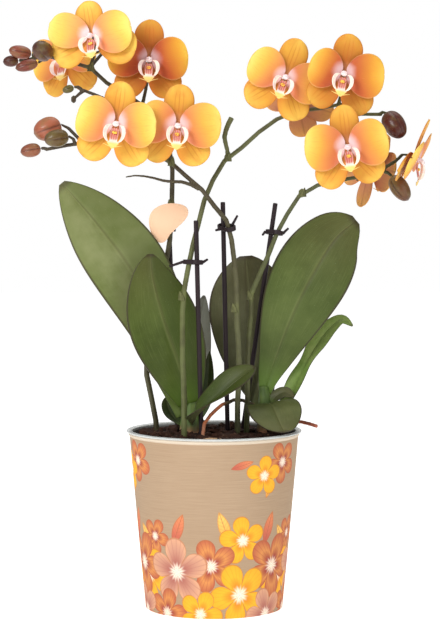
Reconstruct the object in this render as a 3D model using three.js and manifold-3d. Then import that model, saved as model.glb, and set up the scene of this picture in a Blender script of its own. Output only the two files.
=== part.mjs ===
// A moth orchid with four flower spikes in a nursery pot and a paper sleeve.
// Millimetres, +Z up. The origin is under the middle of the pot on the table, and -Y is the front.
import * as THREE from 'three';
import { mergeVertices } from 'three/addons/utils/BufferGeometryUtils.js';
import Module from 'manifold-3d';

// Clearance between pieces that touch
const gap = 0.3;

// Paper sleeve round the pot
const sleeveHeight = 121;
const sleeveBaseRadius = 47;
const sleeveTopRadius = 57.8;
const sleeveWall = 0.7;
const rimHeight = 2.4;
const rimRoll = 0.9;

// Clear nursery pot inside the sleeve
const potWall = 0.8;
const flangeRadius = 60;
const flangeThickness = 0.9;
const drainRadius = 3;
const drainRing = 26;
const drainCount = 6;
const drainSides = 6;

// Bark that fills the pot
const barkEdgeHeight = 110;
const barkMiddleHeight = 117;
const chunkCount = 12;
const chunkSize = [9, 17];

// Round sections
const potSides = 32;
const stemSides = 5;
const pedicelSides = 4;
const rootSides = 5;

// Stems, flower stalks and stakes
const stemRadius = 2.05;
const stemTipRadius = 1.25;
const pedicelRadius = 1.15;
const nodeRadius = 2.7;
const stakeRadius = 1.6;
const stakeFoot = 40;
const leafThickness = 1.8;
const tepalThickness = 0.7;

const manifold = await Module();
manifold.setup();

// Colours and finishes

function finish(color, roughness) {
  return new THREE.MeshStandardMaterial({ color, roughness, metalness: 0 });
}

const finishes = {
  paper: () => finish(0xc9b08f, 0.85),
  clear: () => finish(0xdfe3e2, 0.25),
  bark: () => finish(0x4a2a20, 0.95),
  crown: () => finish(0x7f9a54, 0.6),
  leaf: () => finish(0x54702f, 0.45),
  stem: () => finish(0x6a7440, 0.55),
  bloom: () => finish(0xf0a348, 0.6),
  lip: () => finish(0xf4e3c8, 0.55),
  bud: () => finish(0xa8705a, 0.6),
  stake: () => finish(0x33242b, 0.45),
  tag: () => finish(0xf3c9a5, 0.6),
};

const plant = new THREE.Group();

function addPiece(name, solid, material) {
  const mesh = new THREE.Mesh(toGeometry(solid), material);
  mesh.name = name;
  plant.add(mesh);
}

// Solids from three.js geometry, and back again

function vector(point) {
  return new THREE.Vector3(...point);
}

function signedVolume(positions, index) {
  const a = new THREE.Vector3();
  const b = new THREE.Vector3();
  const c = new THREE.Vector3();
  let sum = 0;
  for (let i = 0; i < index.length; i += 3) {
    a.fromArray(positions, index[i] * 3);
    b.fromArray(positions, index[i + 1] * 3);
    c.fromArray(positions, index[i + 2] * 3);
    sum += a.dot(b.cross(c));
  }
  return sum / 6;
}

function toSolid(geometry) {
  const bare = geometry.clone();
  bare.deleteAttribute('normal');
  bare.deleteAttribute('uv');
  const merged = mergeVertices(bare, 1e-4);
  const positions = merged.attributes.position.array;
  const index = Uint32Array.from(merged.index.array);
  if (signedVolume(positions, index) < 0) index.reverse();
  const mesh = new manifold.Mesh({ numProp: 3, vertProperties: positions, triVerts: index });
  return new manifold.Manifold(mesh);
}

function toGeometry(solid) {
  const mesh = solid.getMesh();
  const geometry = new THREE.BufferGeometry();
  geometry.setAttribute('position', new THREE.BufferAttribute(mesh.vertProperties, 3));
  geometry.setIndex(new THREE.BufferAttribute(mesh.triVerts, 1));
  geometry.computeVertexNormals();
  return geometry;
}

function fuse(solids) {
  return solids.reduce((whole, solid) => whole.add(solid));
}

// The largest body that a cut leaves: loose scraps are dropped.
function mainBody(solid) {
  const bodies = solid.decompose();
  return bodies.reduce((best, body) => (body.volume() > best.volume() ? body : best));
}

// Round pieces turned about +Z from a closed profile of [radius, height] points
function turned(profile, sides) {
  const points = profile.map(([radius, height]) => new THREE.Vector2(radius, height));
  const geometry = new THREE.LatheGeometry(points, sides);
  geometry.rotateX(Math.PI / 2);
  return toSolid(geometry);
}

// The same along any line: each profile point gives a radius and a distance from the start.
function turnedAlong(profile, from, to, sides) {
  const points = profile.map(([radius, distance]) => new THREE.Vector2(radius, distance));
  const geometry = new THREE.LatheGeometry(points, sides);
  const axis = vector(to).sub(vector(from)).normalize();
  const upward = new THREE.Vector3(0, 1, 0);
  geometry.applyQuaternion(new THREE.Quaternion().setFromUnitVectors(upward, axis));
  geometry.translate(...from);
  return toSolid(geometry);
}

function ball(radius, around, down, centre, stretch = 1) {
  const geometry = new THREE.SphereGeometry(radius, around, down);
  geometry.rotateX(Math.PI / 2);
  geometry.scale(1, 1, stretch);
  geometry.translate(...centre);
  return toSolid(geometry);
}

// The same route with both ends moved outwards
function lengthened(route, extra) {
  const points = route.map(vector);
  const first = points[0].clone().sub(points[1]).setLength(extra);
  const last = points.at(-1).clone().sub(points.at(-2)).setLength(extra);
  points[0].add(first);
  points.at(-1).add(last);
  return points.map((point) => point.toArray());
}

// A stem along a smooth route. It is extruded thin, and each ring is then opened to its own radius.
function stem(route, radiusAt, sides, steps) {
  const path = new THREE.CatmullRomCurve3(route.map(vector));
  const seed = 0.25;
  const corners = [];
  for (let i = 0; i < sides; i += 1) {
    const turn = (i / sides) * 2 * Math.PI;
    corners.push(new THREE.Vector2(seed * Math.cos(turn), seed * Math.sin(turn)));
  }
  const section = new THREE.Shape(corners);
  const geometry = new THREE.ExtrudeGeometry(section, {
    steps, extrudePath: path, bevelEnabled: false,
  });
  const centres = path.getSpacedPoints(steps);
  const positions = geometry.attributes.position;
  const corner = new THREE.Vector3();
  for (let i = 0; i < positions.count; i += 1) {
    corner.fromBufferAttribute(positions, i);
    const distances = centres.map((centre) => centre.distanceToSquared(corner));
    const ring = distances.indexOf(Math.min(...distances));
    corner.sub(centres[ring]).multiplyScalar(radiusAt(ring / steps) / seed).add(centres[ring]);
    positions.setXYZ(i, corner.x, corner.y, corner.z);
  }
  return toSolid(geometry);
}

// A blade of even thickness. place(u, v) is its middle surface, with u from base to tip and v
// from -1 to 1 across. Both faces are split along the same diagonals.
function blade(place, rows, columns, thickness) {
  const middle = [];
  for (const u of rows) {
    middle.push(columns.map((v) => place(u, v)));
  }
  const lastRow = rows.length - 1;
  const lastColumn = columns.length - 1;
  const faces = { upper: [], lower: [] };
  for (let i = 0; i <= lastRow; i += 1) {
    for (let j = 0; j <= lastColumn; j += 1) {
      const ahead = middle[Math.min(i + 1, lastRow)][j];
      const behind = middle[Math.max(i - 1, 0)][j];
      const right = middle[i][Math.min(j + 1, lastColumn)];
      const left = middle[i][Math.max(j - 1, 0)];
      const along = ahead.clone().sub(behind);
      const across = right.clone().sub(left);
      const half = along.cross(across).normalize().multiplyScalar(thickness / 2);
      faces.upper.push(middle[i][j].clone().add(half));
      faces.lower.push(middle[i][j].clone().sub(half));
    }
  }
  const positions = [...faces.upper, ...faces.lower].flatMap((point) => point.toArray());
  const count = faces.upper.length;
  const index = [];
  const at = (i, j) => i * (lastColumn + 1) + j;
  for (let i = 0; i < lastRow; i += 1) {
    for (let j = 0; j < lastColumn; j += 1) {
      const [a, b, c, d] = [at(i, j), at(i + 1, j), at(i + 1, j + 1), at(i, j + 1)];
      index.push(a, b, c, a, c, d);
      index.push(a + count, c + count, b + count, a + count, d + count, c + count);
    }
  }
  const edge = (p, q) => index.push(q, p, p + count, q, p + count, q + count);
  for (let i = 0; i < lastRow; i += 1) {
    edge(at(i, 0), at(i + 1, 0));
    edge(at(i + 1, lastColumn), at(i, lastColumn));
  }
  for (let j = 0; j < lastColumn; j += 1) {
    edge(at(lastRow, j), at(lastRow, j + 1));
    edge(at(0, j + 1), at(0, j));
  }
  const geometry = new THREE.BufferGeometry();
  geometry.setAttribute('position', new THREE.Float32BufferAttribute(positions, 3));
  geometry.setIndex(index);
  return toSolid(geometry);
}

// Stations from 0 to 1 that stand closer together at both ends, kept off the very ends
function stations(count, first, last) {
  return Array.from({ length: count + 1 }, (_, i) => {
    const even = (1 - Math.cos((Math.PI * i) / count)) / 2;
    return first + (last - first) * even;
  });
}

function evenly(count) {
  return Array.from({ length: count + 1 }, (_, i) => -1 + (2 * i) / count);
}

// Pot sleeve: a tapered paper tube with a rolled upper edge, open at both ends

const rimBase = sleeveHeight - rimHeight;
const sleeveInnerTop = sleeveTopRadius - sleeveWall;
const sleeveInnerBase = sleeveBaseRadius - sleeveWall;

function sleeveInnerRadius(height) {
  return sleeveInnerBase + ((sleeveInnerTop - sleeveInnerBase) * height) / rimBase;
}

function makeSleeve() {
  return turned([
    [sleeveBaseRadius, 0],
    [sleeveTopRadius, rimBase],
    [sleeveTopRadius + rimRoll, rimBase + 0.4],
    [sleeveTopRadius + rimRoll, sleeveHeight - 0.6],
    [sleeveTopRadius + 0.3, sleeveHeight],
    [sleeveInnerTop, sleeveHeight - 0.3],
    [sleeveInnerTop, rimBase],
    [sleeveInnerBase, 0],
    [sleeveBaseRadius, 0],
  ], potSides);
}

// Nursery pot: it stands inside the sleeve, and its flange lies over the sleeve's edge

function potOuterRadius(height) {
  return sleeveInnerRadius(height) - gap;
}

function potInnerRadius(height) {
  return potOuterRadius(height) - potWall;
}

function makeNurseryPot() {
  const flangeUnder = sleeveHeight + gap;
  const flangeTop = flangeUnder + flangeThickness;
  let pot = turned([
    [0, 0],
    [potOuterRadius(0), 0],
    [potOuterRadius(rimBase), rimBase],
    [potOuterRadius(rimBase), flangeUnder],
    [flangeRadius, flangeUnder - 0.1],
    [flangeRadius, flangeTop - 0.3],
    [potInnerRadius(rimBase), flangeTop],
    [potInnerRadius(0), potWall],
    [0, potWall],
  ], potSides);
  for (let i = 0; i < drainCount; i += 1) {
    const turn = (i / drainCount) * 2 * Math.PI;
    const hole = new THREE.CylinderGeometry(drainRadius, drainRadius, 4 * potWall, drainSides);
    hole.rotateX(Math.PI / 2);
    hole.translate(drainRing * Math.cos(turn), drainRing * Math.sin(turn), potWall / 2);
    pot = pot.subtract(toSolid(hole));
  }
  return pot;
}

// Crowns: a short stem with its roots, one for each of the two plants in the pot

const crowns = {
  left: {
    trunk: [[-17, -7, 96], [-17, -7, 112], [-16, -6, 128], [-16, -5, 148]],
    radii: [5, 7.5, 7, 4],
    roots: [
      [[-16, -9, 118], [-15, -20, 115], [-14.5, -30, 115], [-13, -40, 117], [-9, -46, 119.5],
        [1, -47, 121], [8, -45, 118], [10, -42, 108]],
      [[-17, -6, 116], [-30, -2, 118], [-38, -10, 116], [-42, -20, 106]],
    ],
  },
  right: {
    trunk: [[36, 4, 96], [36, 4, 112], [35.5, 5, 128], [35, 6, 140], [34, 8, 151]],
    radii: [5, 6.5, 6.2, 5, 3],
    roots: [
      [[33, 5, 132], [29, 7, 137], [22, 6.5, 141], [14, 1, 142.5], [12, -6, 142], [6, -15, 141],
        [0, -27, 137], [-6, -35, 131], [-7.5, -37, 122], [-7.5, -37, 104]],
      [[36, 4, 119], [44, 2, 124], [52, -2, 127.5], [60, -6, 128], [70, -15, 126]],
      [[36, 6, 116], [38, 14, 121], [39, 22, 119], [39, 26, 106]],
    ],
  },
};
const rootRadius = 1.35;

function between(values, t) {
  const place = t * (values.length - 1);
  const i = Math.min(Math.floor(place), values.length - 2);
  return values[i] + (values[i + 1] - values[i]) * (place - i);
}

function crownTrunk(crown, extra) {
  const route = extra > 0 ? lengthened(crown.trunk, extra) : crown.trunk;
  return stem(route, (t) => between(crown.radii, t) + extra, 8, 6);
}

function makeCrown(crown, extra) {
  const roots = crown.roots.map((route) => {
    const reach = extra > 0 ? lengthened(route, extra) : route;
    return stem(reach, () => rootRadius + extra, rootSides, route.length + 1);
  });
  return fuse([crownTrunk(crown, extra), ...roots]);
}

// Leaves. Each has a midrib route from its crown to its tip, the way its upper face looks near the
// base and near the tip, its greatest half width, and how far its halves fold up along the midrib.

const leaves = [
  {
    crown: 'left', half: 27, fold: 14, curl: 1.5, base: 0.05, late: 1.45, rows: 9, columns: 4,
    midrib: [[-20, -5, 132], [-27, -3, 152], [-40, -2, 196], [-56, -3, 229], [-79, -5, 261],
      [-104, -9, 292]],
    faceBase: [0.35, -0.9, 0.25], faceTip: [0.1, -0.98, 0.15],
  },
  {
    crown: 'left', half: 24.5, fold: 10, curl: 1, base: 0.07, late: 1.15, rows: 8, columns: 4,
    midrib: [[-17, -10, 141], [-20, -13, 153], [-26, -17, 173], [-35, -19, 199], [-42, -19, 228],
      [-43, -18, 244]],
    faceBase: [0.2, -0.95, 0.1], faceTip: [0.1, -0.99, 0.1],
  },
  {
    crown: 'left', half: 12, fold: 48, curl: 1, base: 0.05, late: 2.2, rows: 7, columns: 4,
    midrib: [[-15, -12, 127], [-14.4, -21, 129], [-14.3, -31, 132], [-10, -38, 138],
      [3, -42, 149], [17, -43, 161], [28, -42, 169]],
    faceBase: [-0.1, -0.1, 0.98], faceTip: [-0.5, -0.75, 0.45],
  },
  {
    crown: 'right', half: 27, fold: 14, curl: 1.5, base: 0.02, late: 1.4, rows: 9, columns: 4,
    blunt: 0.62,
    midrib: [[34, 8, 141], [37, 11, 155], [42, 11.5, 170], [50, 11, 192], [63, 10, 221],
      [83, 12, 253], [98.5, 13, 266]],
    faceBase: [0.05, -0.97, 0.2], faceTip: [0.08, -0.97, 0.2],
  },
  {
    crown: 'right', half: 26, fold: 8, curl: -1, base: 0.01, late: 1.9, rows: 7, columns: 4,
    blunt: 0.5,
    midrib: [[36, 9, 129], [35.5, 19, 137], [31, 28, 150], [24, 29, 172], [20, 30, 203],
      [13, 31, 235]],
    faceBase: [0, 0.9, 0.4], faceTip: [0.1, 0.97, 0.2],
  },
  {
    crown: 'left', half: 11, fold: 10, curl: 1, base: 0.07, late: 1.15, rows: 5, columns: 4,
    midrib: [[-17, -1, 134], [-16, 12, 143], [-14, 37, 164], [-11, 50, 188], [-7, 54, 212]],
    faceBase: [0.1, -0.8, 0.6], faceTip: [0, -0.98, 0.2],
  },
  {
    crown: 'right', half: 9.5, fold: 26, curl: 1, base: 0.08, late: 1.15, rows: 7, columns: 4,
    midrib: [[41, 3, 127], [46, 6, 131], [50.5, 11, 144], [57, 17, 161], [67, 22, 179],
      [79, 25, 192], [89, 26, 196], [97, 26, 191]],
    faceBase: [-0.6, -0.5, 0.6], faceTip: [0, -0.85, 0.5],
  },
  {
    crown: 'right', half: 18.5, fold: 6, curl: 2, base: 0.05, late: 1, rows: 6, columns: 4,
    blunt: 0.55,
    midrib: [[35, 0.6, 135.5], [37, -9, 140.5], [40, -18, 139.5], [43, -28, 133.5], [46, -37, 127],
      [47, -41, 125]],
    faceBase: [0, -0.3, 0.95], faceTip: [0.1, -0.75, 0.65],
  },
  {
    crown: 'right', half: 5, fold: 12, curl: 1, base: 0.1, late: 1.15, rows: 5, columns: 2,
    midrib: [[39, 4, 140.5], [43, 3.8, 145], [49, 2.5, 147.5], [55, 0.5, 144.5]],
    faceBase: [-0.1, -0.7, 0.7], faceTip: [0.1, -0.75, 0.65],
  },
  {
    crown: 'left', half: 6, fold: 20, curl: 0, base: 0.1, late: 1.15, rows: 5, columns: 4,
    midrib: [[-21, -4, 125], [-25, -1, 128], [-29, 2, 132], [-32, 5, 138], [-33, 8, 144]],
    faceBase: [0.3, -0.5, 0.8], faceTip: [0.2, -0.8, 0.6],
  },
  {
    crown: 'left', half: 4.5, fold: 25, curl: 0, base: 0.2, late: 1.15, rows: 5, columns: 2,
    midrib: [[-11, -8, 130], [-6, -6, 141], [-4, 1, 158], [-3, 5, 176]],
    faceBase: [0, -0.9, 0.4], faceTip: [0, -0.98, 0.2],
  },
];

const leafBlunt = 0.72;

function makeLeaf(leaf) {
  const midrib = new THREE.CatmullRomCurve3(leaf.midrib.map(vector));
  const faceBase = vector(leaf.faceBase);
  const faceTip = vector(leaf.faceTip);
  const place = (u, v) => {
    const along = midrib.getTangentAt(u);
    const face = faceBase.clone().lerp(faceTip, u);
    face.addScaledVector(along, -face.dot(along)).normalize();
    const side = along.clone().cross(face);
    const reach = leaf.base + (1 - leaf.base) * u ** leaf.late;
    const width = leaf.half * Math.sin(Math.PI * reach) ** (leaf.blunt ?? leafBlunt);
    const fold = THREE.MathUtils.degToRad(leaf.fold * (1 - 0.6 * u));
    const curl = leaf.curl * (width / leaf.half);
    const lift = Math.abs(v) * width * Math.sin(fold) - curl * v * v * u;
    return midrib.getPointAt(u)
      .addScaledVector(side, v * width * Math.cos(fold))
      .addScaledVector(face, lift);
  };
  const solid = blade(place, stations(leaf.rows, 0, 0.992), evenly(leaf.columns), leafThickness);
  return mainBody(solid.subtract(crownTrunk(crowns[leaf.crown], gap)));
}

// Blooms. Each faces along front, and turn rolls it clockwise as its viewer sees it. The last three
// are twisted, and have turns of their own for their five tepals.

const blooms = [
  { at: [-82, -22, 389], front: [-0.22, -0.96, 0.12], turn: -12, size: 1 },
  { at: [-44, -6, 374], front: [0.05, -0.98, 0.1], turn: 2, size: 0.98 },
  { at: [-64, -54, 330], front: [0, -1, 0.04], turn: 8, size: 1 },
  { at: [-24, -43, 329], front: [0.06, -1, 0.04], turn: 5, size: 0.98 },
  { at: [-104, 32, 377], front: [-0.45, -0.88, 0], turn: -10, size: 0.95 },
  { at: [48, -10, 362], front: [0.08, -1, 0.1], turn: 21, size: 0.98 },
  { at: [87, -22, 364], front: [0, -1, 0.08], turn: 11, size: 0.98 },
  { at: [89, -34, 315], front: [-0.04, -1, 0.02], turn: -7, size: 1 },
  {
    at: [110, 30, 302], front: [0.8, 0.55, -0.25], turn: 0, size: 0.92,
    turns: [-38, 103, -179, 42, -98],
  },
  {
    at: [137, 2, 308], front: [0.88, -0.15, -0.46], turn: 0, size: 0.98,
    turns: [-8, 150, -115, 66, -90],
  },
  {
    at: [58, 30, 345], front: [0.05, 0.9, -0.42], turn: 0, size: 0.85,
    turns: [10, -168, -108, 50, -62],
  },
];
const bloomBack = 3.2;

function bloomFrame(bloom) {
  const front = vector(bloom.front).normalize();
  const right = new THREE.Vector3(0, 0, 1).cross(front).normalize();
  const up = front.clone().cross(right);
  const frame = new THREE.Matrix4().makeBasis(right, up, front);
  frame.multiply(new THREE.Matrix4().makeRotationZ(THREE.MathUtils.degToRad(-bloom.turn)));
  frame.scale(new THREE.Vector3(bloom.size, bloom.size, bloom.size));
  return frame.setPosition(vector(bloom.at));
}

// The point behind a bloom where its stalk ends
function bloomSeat(bloom, distance) {
  const front = vector(bloom.front).normalize();
  return vector(bloom.at).addScaledVector(front, -bloomBack * bloom.size - distance).toArray();
}

const sepal = {
  length: 28, half: 9.8, level: -1.1, arch: -1.6, power: 1, blunt: 0.72, rows: 3, columns: 2,
};
const lateral = { ...sepal, length: 31 };
const petal = {
  length: 28.5, half: 15.8, level: 0.9, arch: 1.7, power: 1.05, blunt: 0.66, rows: 5, columns: 2,
};
const tepals = [sepal, lateral, lateral, petal, petal];
const tepalTurns = [0, 141, -141, 80, -80];
const tepalStart = 1.3;

function makeTepal(tepal, degrees) {
  const turn = THREE.MathUtils.degToRad(degrees);
  const place = (u, v) => {
    const along = tepalStart + (tepal.length - tepalStart) * u;
    const half = tepal.half * Math.sin(Math.PI * u ** tepal.power) ** tepal.blunt;
    const across = v * half;
    const height = tepal.level + tepal.arch * Math.sin(Math.PI * u * 0.8) - 0.9 * v * v * u;
    return new THREE.Vector3(
      along * Math.sin(turn) + across * Math.cos(turn),
      along * Math.cos(turn) - across * Math.sin(turn),
      height,
    );
  };
  return blade(place, stations(tepal.rows, 0.05, 0.98), evenly(tepal.columns), tepalThickness);
}

function makeTepals(turns) {
  const column = new THREE.CylinderGeometry(2.8, 2, 8, 5);
  column.rotateX(Math.PI / 2 + 0.06);
  column.translate(0, -0.1, 4);
  const middle = ball(3.7, 5, 3, [0, 0, 0], bloomBack / 3.7);
  return fuse([middle, toSolid(column), ...tepals.map((tepal, i) => makeTepal(tepal, turns[i]))]);
}

// The lip's right half, row by row from its claw to its tip: middle, fold and outer edge. The third
// and fourth rows are the raised side lobes, and the rest is the arrow-shaped middle lobe.
const lipRows = [
  [[0, -2.95, 3.6], [0.9, -2.95, 3.6], [1.6, -2.9, 3.7]],
  [[0, -4.9, 3.9], [1.8, -4.7, 3.9], [3, -4, 4.2]],
  [[0, -6.2, 5.2], [3.4, -6.6, 5.4], [5.2, -2.4, 6.4]],
  [[0, -7.6, 7.2], [4, -8, 8.2], [6.6, -2.2, 10.6]],
  [[0, -12.2, 9.4], [1.9, -12, 9.4], [3.7, -11.4, 9.2]],
  [[0, -15.8, 9.6], [0.4, -15.8, 9.6], [0.9, -15.6, 9.5]],
];
const tendrilRoute = [[0.4, -15, 9.6], [3, -17.4, 10], [6, -16.2, 9.4], [8, -12.8, 8.6]];

function makeLip() {
  const place = (row, v) => {
    const point = vector(lipRows[row][Math.abs(v) * 2]);
    if (v < 0) point.x = -point.x;
    return point;
  };
  const rows = lipRows.map((_, row) => row);
  const parts = [blade(place, rows, evenly(4), 0.8)];
  for (const side of [-1, 1]) {
    const route = tendrilRoute.map(([x, y, z]) => [side * x, y, z]);
    parts.push(stem(route, (t) => 0.8 - 0.3 * t, 3, 2));
  }
  return fuse(parts);
}

// Buds, from the stalk's end to the tip

const buds = [
  { from: [-112, -11, 377], to: [-118, -28, 382], radius: 6.8 },
  { from: [-124, 0, 378], to: [-139, -3, 381], radius: 4.6 },
  { from: [-133, 3, 374], to: [-143.5, 2, 373], radius: 3.9 },
  { from: [-119, -8, 372], to: [-134, -10, 368], radius: 4 },
  { from: [-94, -20, 355], to: [-101.5, -21, 352.5], radius: 2.7 },
  { from: [-103, -15, 330], to: [-121, -19, 324], radius: 8.2 },
  { from: [-97, -32, 322], to: [-112.5, -38, 319.5], radius: 6 },
  { from: [-116, -24, 314], to: [-129.5, -26, 311.5], radius: 4.7 },
  { from: [117, -3, 338], to: [127.5, -13, 322], radius: 7.6 },
  { from: [121, -3, 295.5], to: [132, -5, 279], radius: 6.4 },
];

function makeBud(bud) {
  const length = vector(bud.from).distanceTo(vector(bud.to));
  const outline = [[0, 0], [0.55, 0.06], [0.95, 0.3], [0.95, 0.6], [0.6, 0.88], [0, 1]];
  const profile = outline.map(([r, h]) => [r * bud.radius, h * length]);
  return turnedAlong(profile, bud.from, bud.to, 7);
}

function budSeat(bud, distance) {
  const axis = vector(bud.to).sub(vector(bud.from)).normalize();
  return vector(bud.from).addScaledVector(axis, -distance).toArray();
}

// Spikes: a main stem, its side branches and the stalks that carry the blooms and buds

const spikes = [
  {
    main: [[-39, 10, 96], [-39, 10, 114], [-40, 10, 126], [-42, 10, 138], [-45, 10, 151],
      [-47, 10, 166], [-44, 9, 190], [-38, 9, 217], [-31, 8, 246], [-29, 7, 276], [-29, 8, 306],
      [-35, 10, 327], [-49, 10, 344], [-70, 6, 357], [-79, 2, 363], [-84, -1, 369],
      [-98, -3, 373], [-105, -4, 375], [-112, -5, 377], [-121, -2, 375], [-128, 2, 374]],
    steps: 22,
    nodes: [[-29, 7, 276], [-84, -1, 369]],
    branches: [],
    stalks: [
      { from: [-84, -1, 369], via: [[-81, -3, 379], [-81, -12, 390]], bloom: 0 },
      { from: [-49, 10, 344], via: [[-46, 10, 358], [-44, 5, 372]], bloom: 1 },
      { from: [-84, -1, 369], via: [[-79, 6, 376], [-75, 20, 381], [-82, 38, 381]], bloom: 4 },
      { from: [-108, -5, 376], via: [], bud: 0 },
      { from: [-121, -2, 375], via: [], bud: 1 },
      { from: [-128, 2, 374], via: [], bud: 2 },
      { from: [-114, -4.5, 377], via: [], bud: 3 },
    ],
  },
  {
    main: [[-20, -30, 96], [-20, -30, 118], [-20, -30, 149], [-21, -30, 174], [-21, -29, 200],
      [-21, -28, 215], [-19, -27, 223], [-16, -25, 241], [-9, -19, 269], [-5, -15, 284],
      [0, -12, 294], [9, -8, 308], [18, -6, 314], [27, -4, 323], [37, -2, 329], [48, 0, 338],
      [59, 2, 340], [70, 4, 341], [81, 6, 345], [90, 6, 343], [101, 2, 337], [110, -1, 337],
      [114, -2, 337.4]],
    steps: 22,
    nodes: [[-21, -28, 215], [9, -8, 308]],
    branches: [
      { route: [[9, -8, 308], [9, -9, 314], [7, -10, 321], [9, -10, 329], [12, -10, 335]], tip: 1.9 },
    ],
    stalks: [
      { from: [54, 1, 339], via: [[50, 5, 350], [48, 0, 361]], bloom: 5 },
      { from: [85, 6, 345], via: [[88, 3, 356], [87, -10, 364]], bloom: 6 },
      { from: [64, 3, 340], via: [[62, 9, 347], [58, 18, 349]], bloom: 10 },
      { from: [112, -1.5, 337.2], via: [], bud: 8 },
    ],
  },
  {
    main: [[16, -12, 96], [16, -12, 116], [16, -12, 140], [17, -12, 165], [16, -12, 193],
      [14, -12, 206], [16, -12, 212], [15, -12, 225], [14, -12, 236], [12, -13, 252],
      [10.5, -14, 263], [5, -18, 269], [0, -22, 276], [-5, -25, 284], [-13, -26, 290],
      [-21, -26, 298], [-29, -26, 305], [-43, -25, 312], [-63, -24, 316], [-79, -24, 318],
      [-91, -24, 318], [-99, -24, 316], [-107, -24, 313], [-112, -24, 313.5]],
    steps: 22,
    nodes: [[14.5, -12, 206], [-29, -26, 305]],
    branches: [
      {
        route: [[-10, -25.8, 287], [-18, -28, 291], [-24, -29, 292], [-31, -30, 292],
          [-43, -30, 295], [-52, -30, 296], [-59, -30, 295]],
        tip: 0.6,
      },
      {
        route: [[-63, -24, 316], [-67, -24, 332], [-72, -22, 346], [-82, -20, 351],
          [-90, -20, 354]],
        tip: 1.1,
      },
      { route: [[-87, -20.4, 353], [-91, -20.6, 350], [-94, -21, 347]], tip: 0.8, bulb: 2 },
    ],
    stalks: [
      { from: [-60, -24.2, 316], via: [[-62.6, -30, 325], [-64, -41, 330]], bloom: 2 },
      { from: [-32, -26, 306], via: [[-27, -26, 318], [-24, -31, 328]], bloom: 3 },
      { from: [-89, -20, 353.8], via: [], bud: 4 },
      { from: [-88, -24, 318], via: [[-97, -19, 327]], bud: 5 },
      { from: [-93, -24, 317.5], via: [], bud: 6 },
      { from: [-112, -24, 313.5], via: [], bud: 7 },
    ],
  },
  {
    main: [[22, -2, 96], [22, -2, 114], [23, -2, 142], [23, -1, 179], [25, -1, 198],
      [25, -1, 214], [27, -1, 219], [31, 0, 228], [36, 1, 239], [42, 2, 254], [45, 2, 262],
      [51, 2, 271], [60, 2, 284], [70, 1, 289], [77, 0, 292], [89, -1, 293], [103, -2, 296],
      [114, -2, 299]],
    steps: 17,
    nodes: [[25, -1, 214], [60, 2, 284]],
    branches: [],
    stalks: [
      { from: [84, -0.5, 292.5], via: [[88, -6, 304], [89, -20, 315]], bloom: 7 },
      { from: [100, -1.5, 295], via: [[99, 9, 299], [102, 22, 302]], bloom: 8 },
      { from: [112, -2, 298.5], via: [[119, -1, 303], [127, 1, 308]], bloom: 9 },
      { from: [114, -2, 299], via: [], bud: 9 },
    ],
  },
];

function makeStalk(stalk) {
  let ending;
  if (stalk.bloom === undefined) {
    ending = [budSeat(buds[stalk.bud], 2), budSeat(buds[stalk.bud], gap)];
  } else {
    const bloom = blooms[stalk.bloom];
    ending = [bloomSeat(bloom, 5), bloomSeat(bloom, gap)];
  }
  const route = [stalk.from, ...stalk.via, ...ending];
  return stem(route, (t) => pedicelRadius * (1.15 - 0.15 * t), pedicelSides, route.length - 1);
}

function makeSpike(spike) {
  const thinning = (t) => stemRadius + (stemTipRadius - stemRadius) * t ** 1.5;
  const parts = [stem(spike.main, thinning, stemSides, spike.steps)];
  for (const branch of spike.branches) {
    const radiusAt = (t) => 1.45 + (branch.tip - 1.45) * t;
    parts.push(stem(branch.route, radiusAt, pedicelSides, branch.route.length + 1));
    if (branch.bulb) {
      parts.push(ball(branch.bulb, 5, 3, branch.route.at(-1), 1.4));
    }
  }
  for (const place of spike.nodes) {
    const radius = place[2] < 300 ? nodeRadius : nodeRadius * 0.85;
    parts.push(ball(radius, 5, 3, place, 1.2));
  }
  parts.push(...spike.stalks.map(makeStalk));
  return fuse(parts);
}

// Stakes: straight rods from deep in the bark to a rounded top

const stakes = [
  { foot: [-6.4, -31, stakeFoot], top: [-12, -28, 266] },
  { foot: [11, 8, stakeFoot], top: [6, -10.5, 278] },
  { foot: [9, 36, stakeFoot], top: [42, 5.5, 277] },
  { foot: [-22, 16, stakeFoot], top: [-31, 11.5, 262] },
];

function stakeAt(stake, height) {
  const foot = vector(stake.foot);
  const top = vector(stake.top);
  return foot.lerp(top, (height - foot.z) / (top.z - foot.z));
}

function makeStake(stake) {
  const length = vector(stake.foot).distanceTo(vector(stake.top));
  const radius = stakeRadius;
  const profile = [[0, 0], [radius, 0], [radius, length - 1.4], [radius * 0.6, length - 0.3],
    [0, length]];
  return turnedAlong(profile, stake.foot, stake.top, 8);
}

// Clips: a thin oval band round a stem and its stake, with two short arms

const clips = [
  {
    stem: [-16.7, -25, 238], along: [0.1, 0.05, 1], stake: 0, height: 238,
    arms: [[-30, -25, 235], [-4, -27, 240]],
  },
  {
    stem: [10.8, -14, 260.5], along: [-0.26, -0.14, 1], stake: 1, height: 261.5,
    arms: [[1, -16, 259], [16, -9, 269]],
  },
  {
    stem: [43.2, 2, 257], along: [0.25, 0, 1], stake: 2, height: 257,
    arms: [[33, 6, 255], [51, 5, 260]],
  },
];
const bandHeight = 3;
const bandWall = 1.1;
const bandClearance = 0.95;

function oval(reach, radius) {
  const shape = new THREE.Shape();
  shape.absarc(reach / 2, 0, radius, -Math.PI / 2, Math.PI / 2, false);
  shape.absarc(-reach / 2, 0, radius, Math.PI / 2, 1.5 * Math.PI, false);
  return shape;
}

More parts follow.
